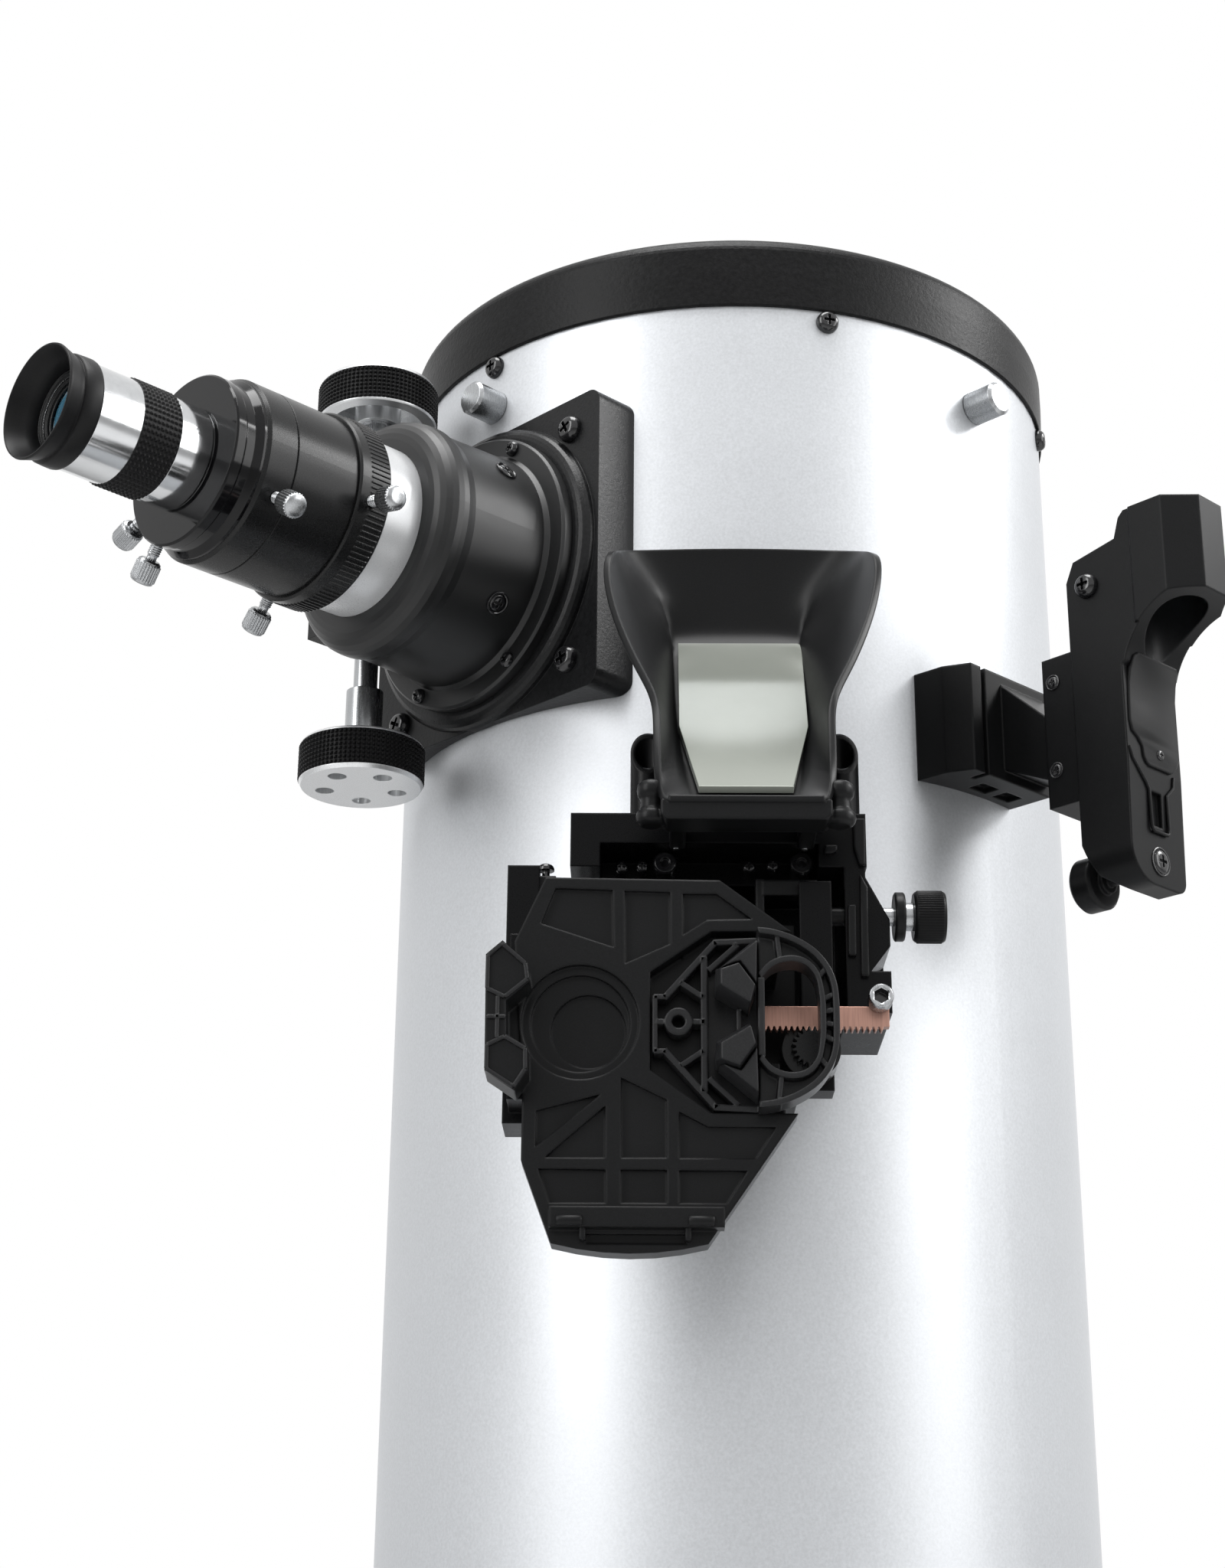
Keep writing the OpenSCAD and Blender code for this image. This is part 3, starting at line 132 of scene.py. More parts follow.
class FinishNodes:
    """The node network that shows one finish."""

    ior = 1.5
    coat_roughness = 0.08
    broad_mm = 60.0
    noise_detail = 4.0
    noise_roughness = 0.62
    tint_ends = (0.32, 0.68)
    gloss_ends = (0.6, 1.4)
    least_roughness = 0.02
    bevel_samples = 6

    def __init__(self, finish: Finish, tree: NodeTree) -> None:
        """Takes a fresh material's nodes, and adds the two noises that all else follows.

        Args:
            finish: The finish to show.
            tree: The material's nodes.
        """
        self.finish = finish
        self.tree = tree
        place = add_node(tree, "TexCoord", {}).outputs["Object"]
        self.fine = self._noise(place, finish.grain_mm)
        self.broad = self._noise(place, self.broad_mm)

    def build(self) -> None:
        """Sets the shader's plain values, then its colour, gloss and relief."""
        shader = self.tree.nodes["Principled BSDF"]
        plain = {
            "Metallic": self.finish.metallic,
            "IOR": self.ior,
            "Specular IOR Level": self.finish.specular,
            "Coat Weight": self.finish.coat,
            "Coat Roughness": self.coat_roughness,
            "Transmission Weight": self.finish.transmission,
        }
        for name, value in plain.items():
            shader.inputs[name].default_value = value
        self.tree.links.new(self._colour(), shader.inputs["Base Color"])
        self.tree.links.new(self._gloss(), shader.inputs["Roughness"])
        self.tree.links.new(self._normal(), shader.inputs["Normal"])

    def _noise(self, place: NodeSocket, size_mm: float) -> NodeSocket:
        """Noise with grains of one size.

        Args:
            place: Socket with the place on the piece.
            size_mm: Size of one grain.

        Returns:
            The socket with the noise value.
        """
        if self.finish.grain is not Grain.EVEN:
            stretch = add_node(self.tree, "Mapping", {"Vector": place}, Scale=self.finish.grain.value)
            place = stretch.outputs["Vector"]
        scale = 1.0 / (size_mm * MM)
        values = {"Scale": scale, "Detail": self.noise_detail, "Roughness": self.noise_roughness}
        noise = add_node(self.tree, "TexNoise", {"Vector": place}, **values)
        return noise.outputs["Fac"]

    def _colour(self) -> NodeSocket:
        """Colour that varies with the grain, and a little over the whole piece.

        Returns:
            Its socket.
        """
        colour, tint = self.finish.colour, self.finish.tint
        ramp = add_node(self.tree, "ValToRGB", {"Fac": self.fine})
        low, high = ramp.color_ramp.elements
        low.position, high.position = self.tint_ends
        low.color = (*(c * (1 - tint) for c in colour), 1)
        high.color = (*(min(1, c * (1 + tint)) for c in colour), 1)
        sway = tint * 0.5
        level = add_node(self.tree, "MapRange", {"Value": self.broad}, To_Min=1 - sway, To_Max=1 + sway)
        links = {"Value": level.outputs["Result"], "Color": ramp.outputs["Color"]}
        return add_node(self.tree, "HueSaturation", links).outputs["Color"]

    def _gloss(self) -> NodeSocket:
        """Roughness that varies between the grains and over the piece.

        Returns:
            Its socket.
        """
        both = add_node(self.tree, "Math", {0: self.fine, 1: self.broad})
        both.operation = "ADD"
        start, end = self.gloss_ends
        low = max(self.least_roughness, self.finish.roughness - self.finish.spread)
        high = min(1, self.finish.roughness + self.finish.spread)
        ends = {"From_Min": start, "From_Max": end, "To_Min": low, "To_Max": high}
        level = add_node(self.tree, "MapRange", {"Value": both.outputs[0]}, **ends)
        return level.outputs["Result"]

    def _normal(self) -> NodeSocket:
        """Normal with the edges eased and the grain raised.

        Returns:
            Its socket.
        """
        links = {"Height": self.fine}
        if self.finish.edge_mm > 0:
            ease = add_node(self.tree, "Bevel", {}, Radius=self.finish.edge_mm * MM)
            ease.samples = self.bevel_samples
            links["Normal"] = ease.outputs["Normal"]
        bump = add_node(self.tree, "Bump", links, Distance=self.finish.relief_mm * MM, Strength=1)
        return bump.outputs["Normal"]


TUBE_PAINT = Finish("silver_paint", "tube_paint", (0.54, 0.555, 0.575), 0.44, 0.6, 0.9, 0.07, 0.012)
RING_COAT = Finish(
    "ring_powder_coat", "ring_coat", (0.007, 0.0071, 0.0074), 0.36, 0, 1.5, 0.35, 0.13, specular=0.1
)
POWDER = Finish(
    "black_powder_coat", "black_powder", (0.010, 0.0103, 0.011), 0.4, 0, 0.9, 0.3, 0.05, specular=0.2
)
CAST = Finish(
    "satin_cast_black", "die_cast", (0.0065, 0.0067, 0.0072), 0.3, 0, 1.2, 0.3, 0.08, specular=0.2
)
HOUSING_COAT = Finish(
    "glossy_cast_black", "die_cast", (0.0052, 0.0054, 0.0058), 0.4, 0, 0.6, 0.2, 0.012, specular=0.42
)
SATIN = Finish(
    "satin_anodised", "black_metal", (0.0065, 0.0067, 0.007), 0.28, 0, 0.5, 0.2, specular=0.24
)
GLOSS = Finish(
    "gloss_anodised", "gloss_black", (0.004, 0.004, 0.0045), 0.1, 0, 1.5, 0.2, 0.001, 0.03, 0.03,
    specular=0.22,
)
BLACK_SCREW = Finish(
    "black_oxide", "black_metal", (0.008, 0.008, 0.009), 0.16, 0, 0.8, 0.2, 0.002, specular=0.6
)
CHROME = Finish("polished_chrome", "chrome", (0.6, 0.61, 0.62), 0.14, 1, 3, 0.04, 0.0005, 0.04)
STEEL = Finish(
    "brushed_steel", "steel", (0.4, 0.41, 0.42), 0.26, 1, 0.35, 0.1, 0.002, grain=Grain.BRUSHED
)
KNOB_METAL = Finish(
    "turned_aluminium", "steel", (0.74, 0.75, 0.76), 0.3, 0.8, 0.3, 0.08, 0.003, grain=Grain.BRUSHED
)
COPPER = Finish(
    "copper_rack", "copper", (0.40, 0.232, 0.185), 0.34, 1, 0.4, 0.15, 0.003, grain=Grain.BRUSHED
)
DRAW_METAL = Finish("white_anodised", "white_metal", (0.66, 0.67, 0.68), 0.3, 0.35, 0.4, 0.05, 0.004)
RUBBER = Finish(
    "knurled_rubber", "black_rubber", (0.006, 0.006, 0.0064), 0.42, 0, 0.4, 0.25, specular=0.16
)
PLASTIC = Finish(
    "matte_moulded_black", "black_plastic", (0.0062, 0.0064, 0.0068), 0.34, 0, 0.35, 0.25, 0.014,
    edge_mm=1, specular=0.14,
)
# Darker copy of the moulded black for the dock bracket and carriage: painted shade for the recesses behind
# the jaw and platform.
RECESS_SHADE_PLASTIC = replace(
    PLASTIC, label="painted_shade_moulded_black", colour=(0.0035, 0.0036, 0.004), roughness=0.3,
    edge_mm=0.8, specular=0.1,
)
# Lighter copy of the moulded black for both jaws: painted light for the front light on the jaw faces.
JAW_LIT_PLASTIC = replace(
    PLASTIC, label="front_lit_moulded_black", colour=(0.013, 0.0132, 0.014), edge_mm=0.8, specular=0.22
)
WHITE_PLASTIC = Finish("white_glide", "white_plastic", (0.8, 0.8, 0.79), 0.3, 0, 1, 0.03, 0.004)
SILVERED = Finish(
    "silvered_mirror", "mirror_glass", (0.86, 0.88, 0.88), 0.03, 1, 8, 0.01, 0.0001, 0.01, edge_mm=0.0
)
# Mostly diffuse grey copy of the silvered mirror for the dock: painted reflection, its colour stands in for
# what the tilted mirror shows.
MIRROR_PAINTED_REFLECTION = replace(SILVERED, label="mirror_painted_reflection", colour=(0.29, 0.308, 0.272), roughness=0.1, metallic=0.25)
LENS = Finish(
    "coated_lens", "lens_glass", (0.05, 0.16, 0.24), 0.04, 0, 6, 0.1, 0.0001, 0.02, 1, edge_mm=0.0
)
PANE = replace(LENS, label="tinted_pane", colour=(0.55, 0.72, 0.76), tint=0.05, coat=0, transmission=0.9)
BOARD = Finish(
    "black_laminate", "board", (0.03, 0.03, 0.033), 0.42, 0, 2.2, 0.3, 0.03, 0.08,
    edge_mm=0.8, grain=Grain.LAMINATE,
)
FLOOR = Finish("pale_floor", "", (0.9, 0.9, 0.9), 0.7, 0, 40, 0.01, 0, edge_mm=0)

NODES_BY_FINISH: dict[Finish, tuple[str, ...]] = {
    BOARD: ("ground_board", "rocker_floor", "side_panels", "front_panel"),
    WHITE_PLASTIC: ("azimuth_glides", "altitude_pads"),
    STEEL: (
        "azimuth_pivot", "panel_bolts", "spider_nuts", "collimation_springs", "dock_rods",
        "focus_axle", "cross_rods",
    ),
    POWDER: ("eyepiece_rack", "spider"),
    TUBE_PAINT: ("optical_tube",),
    RING_COAT: ("front_ring",),
    CAST: ("mirror_cell", "mirror_tray", "focuser_plate"),
    HOUSING_COAT: ("focuser_housing",),
    SATIN: (
        "button_screws", "secondary_holder", "axle_block", "drawtube_collar", "extension_tube",
        "adjust_pinion",
    ),
    GLOSS: ("eyepiece_adapter",),
    CHROME: (
        "collar_thumbscrew_a", "collar_thumbscrew_b", "extension_thumbscrew", "adapter_thumbscrew_a",
        "adapter_thumbscrew_b", "eyepiece_body",
    ),
    DRAW_METAL: ("drawtube",),
    KNOB_METAL: ("focus_knobs",),
    COPPER: ("adjust_rack",),
    RUBBER: ("base_feet", "eyepiece_grip", "eyecup", "knob_grips"),
    PLASTIC: (
        "carry_handle", "trunnions", "finder_bracket", "finder_body", "finder_knob", "dock_hood",
        "side_knob", "phone_platform", "right_jaw", "collimation_knob_a", "collimation_knob_b",
        "collimation_knob_c",
    ),
    # Painted shade: the parts deep in the dock take the darker copy of the moulded black.
    RECESS_SHADE_PLASTIC: ("dock_bracket", "dock_carriage"),
    SILVERED: ("primary_mirror", "secondary_mirror"),
    MIRROR_PAINTED_REFLECTION: ("dock_mirror",),
    LENS: ("eye_lens",),
    PANE: ("finder_window",),
}


def radial(azimuth: float, height: float) -> Matrix:
    """Frame on the tube, azimuth degrees round from the user: X along its round, Y up, Z straight out."""
    c, s = cos(radians(azimuth)), sin(radians(azimuth))
    return Matrix(((c, 0, s, 0), (s, 0, -c, 0), (0, 1, 0, height), (0, 0, 0, 1)))


def shift(x: float = 0, y: float = 0, z: float = 0) -> Matrix:
    """A move, in millimetres."""
    return Matrix.Translation((x, y, z))


def turn(degrees: float, axis: str) -> Matrix:
    """A turn about one local axis."""
    return Matrix.Rotation(radians(degrees), 4, axis)


def circle(r: float, h: float, sides: int) -> Ring:
    """A ring of points round local Z."""
    return star(lambda _: r, h, sides)


def star(radius: Callable[[float], float], h: float, sides: int) -> Ring:
    """A ring whose radius depends on the direction.

    Args:
        radius: Gives the radius for a direction in radians.
        h: Height of the ring.
        sides: Number of points.

    Returns:
        The points, in order.
    """
    ring = []
    for k in range(sides):
        a = 2 * pi * k / sides
        ring.append(Vector((radius(a) * cos(a), radius(a) * sin(a), h)))
    return ring


def cross_reach(a: float, arm: float = 0.52, half: float = 0.13) -> float:
    """Radius in direction a of a cross drive, with half an arm's width, for a head of radius 1."""
    c, s = max(1e-6, abs(cos(a))), max(1e-6, abs(sin(a)))
    return max(min(arm / c, half / s), min(arm / s, half / c))


def hex_reach(flat: float) -> Callable[[float], float]:
    """Radius of a hexagon whose sides stand at a distance from its middle."""
    sector = pi / 3
    return lambda a: flat / cos((a + sector / 2) % sector - sector / 2)


def oblong(x0: float, y0: float, x1: float, y1: float) -> list[Flat]:
    """Corners of an upright oblong between two opposite ones."""
    return [(x0, y0), (x1, y0), (x1, y1), (x0, y1)]


def flow(points: Sequence[Flat], steps: int = 5) -> list[Flat]:
    """A smooth line through points.

    Args:
        points: The points, in order.
        steps: How many pieces each span is cut into.

    Returns:
        The points of the line, with both ends.
    """

    def blend(a: float, b: float, c: float, d: float, t: float) -> float:
        """Value at share t of the span from b to c, with the neighbours a and d."""
        square, cube = 2 * a - 5 * b + 4 * c - d, 3 * b - a - 3 * c + d
        return 0.5 * (2 * b + (c - a) * t + square * t * t + cube * t**3)

    line = [points[0], *points, points[-1]]
    out: list[Flat] = []
    for i in range(1, len(line) - 2):
        xs, ys = zip(*line[i - 1 : i + 3])
        out += [(blend(*xs, k / steps), blend(*ys, k / steps)) for k in range(steps)]
    return [*out, points[-1]]


def add_object(name: str, data: ID) -> Object:
    """Puts a mesh, a lamp or a camera into the scene.

    Args:
        name: Name of the object.
        data: What it shows.

    Returns:
        The object.
    """
    made = bpy.data.objects.new(name, data)
    bpy.context.scene.collection.objects.link(made)
    return made


class Draft:
    """A mesh in the making. Forms are added in millimetres, in one local frame of the telescope."""

    dome = ((1, 0), (1, 0.3), (0.96, 0.5), (0.87, 0.72), (0.74, 0.89), (0.6, 0.98))
    raised = (False, True, True, False)
    head_sides = 48
    merge_m = 2e-7
    degenerate_m = 1e-7

    def __init__(self, place: Matrix) -> None:
        """Starts an empty draft.

        Args:
            place: The local frame.
        """
        self.place = place
        self.points: list[Vector] = []
        self.faces: list[tuple[int, ...]] = []

    def loft(
        self,
        rings: Sequence[Ring],
        at: Matrix = HERE,
        caps: tuple[bool, bool] = (False, False),
        closed: bool = True,
        loop: bool = False,
    ) -> None:
        """Skins rings of equal count.

        Args:
            rings: The rings, in order.
            at: Frame of the rings inside the draft's own.
            caps: Whether the first and the last ring are closed by a face.
            closed: Whether a ring's last point joins its first.
            loop: Whether the last ring joins the first.
        """
        frame_of = self.place @ at
        ids = []
        for ring in rings:
            ids.append(range(len(self.points), len(self.points) + len(ring)))
            self.points.extend(frame_of @ p for p in ring)
        count = len(rings[0])
        pairs = list(zip(ids, ids[1:]))
        if loop:
            pairs.append((ids[-1], ids[0]))
        for a, b in pairs:
            for i in range(count if closed else count - 1):
                j = (i + 1) % count
                self.faces.append((a[i], a[j], b[j], b[i]))
        if caps[0]:
            self.faces.append(tuple(reversed(ids[0])))
        if caps[1]:
            self.faces.append(tuple(ids[-1]))

    def lathe(
        self, profile: Sequence[Flat], at: Matrix = HERE, sides: int = 48, loop: bool = False
    ) -> None:
        """Turns a profile of radius and height about local Z. With loop it is a closed section."""
        self.loft([circle(max(r, 1e-4), h, sides) for r, h in profile], at, loop=loop)

    def prism(self, outline: Sequence[Flat], low: float, high: float) -> None:
        """Extrudes an outline along local Z, from low to high."""
        self.loft([[Vector((x, y, z)) for x, y in outline] for z in (low, high)], caps=(True, True))

    def bar(self, a: Flat, b: Flat, thick: float, low: float, high: float) -> None:
        """Adds a straight wall from one point to another.

        Args:
            a: One end.
            b: The other end.
            thick: Thickness.
            low: Lower edge.
            high: Upper edge.
        """
        way = Vector((b[0] - a[0], b[1] - a[1]))
        side = Vector((-way.y, way.x)).normalized() * thick / 2
        ends = ((a, -1), (b, -1), (b, 1), (a, 1))
        self.prism([(p[0] + k * side.x, p[1] + k * side.y) for p, k in ends], low, high)

    def sweep(self, path: Sequence[Vector], r: float, at: Matrix = HERE, sides: int = 12) -> None:
        """Draws a round bar along a path.

        Args:
            path: Points of its middle line.
            r: Radius of the bar.
            at: Its frame inside the draft's.
            sides: Steps round the bar.
        """
        rings, side = [], None
        angles = [2 * pi * k / sides for k in range(sides)]
        for i, p in enumerate(path):
            ahead = (path[min(i + 1, len(path) - 1)] - path[max(i - 1, 0)]).normalized()
            if side is None:
                side = ahead.orthogonal()
            side = (side - ahead * side.dot(ahead)).normalized()
            other = ahead.cross(side)
            rings.append([p + r * (cos(a) * side + sin(a) * other) for a in angles])
        self.loft(rings, at, (True, True))

    def head(self, r: float, h: float, at: Matrix) -> None:
        """Adds the domed head of a screw with its cross drive.

        Args:
            r: Radius of the head.
            h: Height of the head.
            at: Frame at the head's seat.
        """
        sides = self.head_sides
        rings = [circle(r * a, h * b, sides) for a, b in self.dome]
        rings.append(star(lambda a: r * cross_reach(a), h, sides))
        rings.append(star(lambda a: 0.94 * r * cross_reach(a), h * 0.35, sides))
        self.loft(rings, at, (True, True))

    def knurl(self, radii: Triple, span: Flat, counts: tuple[int, int], at: Matrix = HERE) -> None:
        """Adds a band of raised points, or of straight ridges if there is one row.

        Args:
            radii: Radius of the seat, of the grooves and of the points.
            span: Lower and upper end of the band.
            counts: Points round the band, and rows along it.
            at: Its frame inside the draft's.
        """
        seat, groove, tip = radii
        low, high = span
        around, rows = counts
        sides = 4 * around
        steps = (0.12, 0.32, 0.68, 0.88) if rows > 1 else (0.03, 0.07, 0.93, 0.97)
        rings = [circle(seat, low, sides), circle(groove, low, sides)]
        for row in range(rows):
            for share, up in zip(steps, self.raised):
                h = low + (high - low) * (row + share) / rows
                valley, ridge = circle(groove, h, sides), circle(tip, h, sides)
                rings.append([ridge[i] if up and self.raised[i % 4] else valley[i] for i in range(sides)])
        rings += [circle(groove, high, sides), circle(seat, high, sides)]
        self.loft(rings, at, loop=True)

    def piece(
        self,
        name: str,
        body: str,
        finish: Finish,
        replaces: Iterable[str] = (),
        ease: float = 0,
        smooth: float = 38,
    ) -> Object:
        """Makes the object, which rides on a body of the frame.

        Args:
            name: Name of the piece.
            body: Body that it moves with.
            finish: Its finish.
            replaces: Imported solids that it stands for.
            ease: Radius of its edges.
            smooth: Largest angle that is shaded smooth, in degrees.

        Returns:
            The object.
        """
        mesh = bpy.data.meshes.new(name)
        mesh.from_pydata([p * MM for p in self.points], [], self.faces)
        work = bmesh.new()
        work.from_mesh(mesh)
        bmesh.ops.remove_doubles(work, verts=work.verts, dist=self.merge_m)
        bmesh.ops.dissolve_degenerate(work, edges=work.edges, dist=self.degenerate_m)
        bmesh.ops.recalc_face_normals(work, faces=work.faces)
        work.to_mesh(mesh)
        work.free()
        mesh.shade_smooth()
        mesh.set_sharp_from_angle(angle=radians(smooth))
        mesh.materials.append(finish.material())
        made = add_object(name, mesh)
        if ease > 0:
            bevel = made.modifiers.new("eased_edges", "BEVEL")
            bevel.width = ease * MM
            bevel.segments = 2
            bevel.limit_method = "ANGLE"
            bevel.angle_limit = radians(smooth)
            bevel.harden_normals = True
        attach(made, body)
        if replaces:
            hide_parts(*replaces)
        LOG.info("made %s on %s", name, body)
        return made


RING_RISE = 28.0
RING_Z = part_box("front_ring")[1].z / MM - RING_RISE
TUBE_R = 117.5


@dataclass
class HeadScrews:
    """Button-head screws of the front ring, the rear cell and the focuser plate."""

    head: Flat = (3.9, 3)
    ring_drop: float = 4.2
    rear_rise: float = 9.0
    plate_head: Flat = (4.6, 3.2)
    plate_pitch: float = 41.5
    plate_s: float = 120.0
    flange_head: Flat = (2.6, 2)
    flange_pitch: float = 44.3
    flange_s: float = 128.3
    flange_angles: tuple[int, ...] = (60, 120, 240, 300)

    def build(self) -> None:
        """Makes all heads with their cross drives."""
        rear_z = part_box("optical_tube")[0].z / MM
        draft = Draft(HERE)
        for azimuth in range(-45, 256, 60):
            for z in (rear_z + self.rear_rise, RING_Z - self.ring_drop):
                draft.head(*self.head, radial(azimuth, z) @ shift(z=TUBE_R))
        for x in (-1, 1):
            for y in (-1, 1):
                spot = shift(x * self.plate_pitch, y * self.plate_pitch, self.plate_s)
                draft.head(*self.plate_head, Focuser.axis() @ spot @ turn(20 * x + 7 * y, "Z"))
        draft.piece("button_heads", "tube", BLACK_SCREW, ["button_screws"])
        small = Draft(Focuser.axis())
        for angle in self.flange_angles:
            small.head(*self.flange_head, turn(angle, "Z") @ shift(self.flange_pitch, 0, self.flange_s))
        small.piece("flange_heads", "tube", BLACK_SCREW)


@dataclass
class Focuser:
    """Focuser details: knurls, thumbscrews, knob bands and the screws of its housing.

    Distances run along the focuser axis, from the tube axis. Each thumbscrew has its direction round that
    axis, its distance along it, the radius of the face that it stands on and the radius of its tip.
    """

    azimuth: float = -45.0
    drop: float = 86.7
    axle: Flat = (-32.8, 143.3)
    axle_up: float = 1.9
    knob_r: float = 20.8
    knob_far: float = 74.3
    knob_h: float = 15.0
    band_inset: float = 1.5
    collar_r: float = 31.4
    collar_s: float = 186.3
    housing_r: float = 40.0
    housing_screw_s: float = 141.0
    neck_l: float = 5.0
    thread_step: float = 0.35
    thread_r: Flat = (1.78, 1.98)
    screw_head: tuple[Outline, Outline] = (
        ((1.6, 0), (2.9, 0), (3.6, 0.6), (3.7, 1)),
        ((3.7, 7), (3.6, 7.4), (3, 7.8), (1.8, 8), (0, 8.1)),
    )
    screws: tuple[tuple[str, float, float, float, float], ...] = (
        ("collar_screw_a", -13.5, 193.3, 31.4, 28.9),
        ("collar_screw_b", -133, 192.8, 31.4, 28.9),
        ("extension_screw", -32, 225.9, 30, 25.8),
        ("adapter_screw_a", -160, 238.9, 27.6, 16.3),
        ("adapter_screw_b", -128, 238.9, 27.6, 16.3),
    )

    @classmethod
    def axis(cls) -> Matrix:
        """Frame of the focuser: Z runs out along its axis."""
        return radial(cls.azimuth, RING_Z - cls.drop)

    def build(self) -> None:
        """Makes every detail of the focuser."""
        self._knob_bands()
        self._collar()
        self._thumbscrews()
        self._housing_screws()

    def _knob_bands(self) -> None:
        """Rubber bands with rows of small points round both knobs."""
        draft = Draft(self.axis())
        x, s = self.axle
        r, inset = self.knob_r, self.band_inset
        for side in (1, -1):
            foot = self.axle_up + side * (self.knob_far - self.knob_h)
            at = shift(x, foot, s) @ turn(-90 * side, "X")
            draft.knurl((r - 1.6, r - 0.7, r + 0.15), (inset, self.knob_h - inset), (82, 8), at)
        draft.piece("knob_bands", "axle", RUBBER, ["knob_grips"], smooth=20)

    def _collar(self) -> None:
        """Straight ridges round the collar."""
        draft = Draft(self.axis() @ shift(z=self.collar_s))
        r = self.collar_r
        draft.knurl((r - 0.5, r - 0.25, r + 0.35), (0.5, 8.6), (110, 1))
        draft.piece("collar_ridges", "draw", SATIN, smooth=20)

    def _thumbscrews(self) -> None:
        """Five bright screws with threads and knurled heads."""
        for body, angle, s, surface, tip in self.screws:
            draft = Draft(self.axis() @ shift(z=s) @ turn(angle, "Z") @ turn(90, "Y"))
            start = surface + self.neck_l
            count = int((start - 1.4 - tip) / self.thread_step)
            threads = [(self.thread_r[i % 2], tip + self.thread_step * i) for i in range(count)]
            draft.lathe([(0, tip), *threads, (1.6, start - 1.2), (1.6, start)], sides=32)
            rim, crown = ([(r, start + h) for r, h in line] for line in self.screw_head)
            draft.lathe(rim)
            draft.knurl((3.4, 3.7, 4), (start + 1, start + 7), (26, 1))
            draft.lathe(crown)
            node = body.replace("screw", "thumbscrew")
            draft.piece(f"{node}_turned", body, STEEL, [node], smooth=32)

    def _housing_screws(self) -> None:
        """Two dark screws in the side of the housing."""
        draft = Draft(self.axis())
        for angle in (-39, 33):
            side = shift(z=self.housing_screw_s) @ turn(angle, "Z") @ turn(90, "Y")
            at = side @ shift(z=self.housing_r - 0.9)
            draft.lathe([(3.9, 0), (3.9, 1), (3.4, 1.2), (3.1, 0.9)], at)
            draft.head(3.1, 1.2, at)
        draft.piece("housing_heads", "tube", BLACK_SCREW)


@dataclass
class Eyepiece:
    """Eyepiece details: the knurled grip, the rubber cup and the rings round its lens.

    The cup's line gives distances off the band and heights, the lens steps give radii and heights.
    """

    grip_s: float = 254.9
    grip_l: float = 13.4
    grip_r: float = 17.2
    band_r: float = 16.6
    cup_s: float = 282.5
    bore_r: float = 13.2
    sides: int = 96
    cup_line: Outline = (
        (0.2, 0), (0.6, 0.3), (0.75, 0.9), (0.7, 3), (0.55, 5.4), (0.2, 6), (-0.25, 6.2),
        (-0.2, 6.7), (0.15, 7.6), (0.6, 8.9), (1, 10.2), (1.35, 11.2), (1.5, 11.7), (1.35, 12.2),
        (0.95, 12.25), (0.5, 11.6), (-0.3, 10), (-1.2, 8.4), (-2, 7.2), (-2.6, 6.4), (-2.9, 5.4),
    )
    lens_steps: Outline = (
        (13, 3), (13, 3.6), (12.5, 3.8), (12.2, 3.3), (11.2, 3.2), (10.9, 2.5),
        (10, 2.4), (9.7, 1.6), (9.4, 1.5), (9.4, 1), (11, 0.8), (13, 1.2),
    )

    def build(self) -> None:
        """Makes the grip, the cup and the lens rings."""
        grip = Draft(Focuser.axis())
        radii = (self.band_r - 1.1, self.grip_r - 0.55, self.grip_r)
        grip.knurl(radii, (self.grip_s, self.grip_s + self.grip_l), (56, 9))
        grip.piece("grip_band", "eyepiece", RUBBER, ["eyepiece_grip"], smooth=20)
        cup, rings = (Draft(Focuser.axis() @ shift(z=self.cup_s)) for _ in range(2))
        line = [(self.band_r + off, h) for off, h in self.cup_line]
        cup.lathe([(self.bore_r, 0), *line, (self.bore_r, 4.4)], sides=self.sides, loop=True)
        cup.piece("rubber_cup", "eyepiece", RUBBER, ["eyecup"], smooth=50)
        rings.lathe(self.lens_steps, sides=self.sides, loop=True)
        rings.piece("lens_rings", "eyepiece", SATIN, smooth=25)


@dataclass
class Springs:
    """Three wound springs between the rear cell and the mirror's tray."""

    stations: tuple[float, ...] = (90, 210, 330)
    pitch_r: float = 78.0
    coil_r: float = 6.4
    wire: float = 1.6
    length: float = 15.0
    turns: int = 3

    def build(self) -> None:
        """Winds the three springs with flat closed ends."""
        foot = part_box("collimation_springs")[0].z / MM
        draft = Draft(HERE)
        steps = 28 * self.turns
        lead = self.length - 2 * self.wire
        for angle in self.stations:
            path = [Vector((self.coil_r, 0, 0.02))]
            for i in range(steps + 1):
                a = 2 * pi * self.turns * i / steps
                z = self.wire + lead * i / steps
                path.append(Vector((self.coil_r * cos(a), self.coil_r * sin(a), z)))
            path.append(Vector((self.coil_r, 0, self.length - 0.02)))
            draft.sweep(path, self.wire / 2, turn(angle, "Z") @ shift(self.pitch_r, 0, foot))
        draft.piece("wound_springs", "tube", STEEL, ["collimation_springs"], smooth=50)


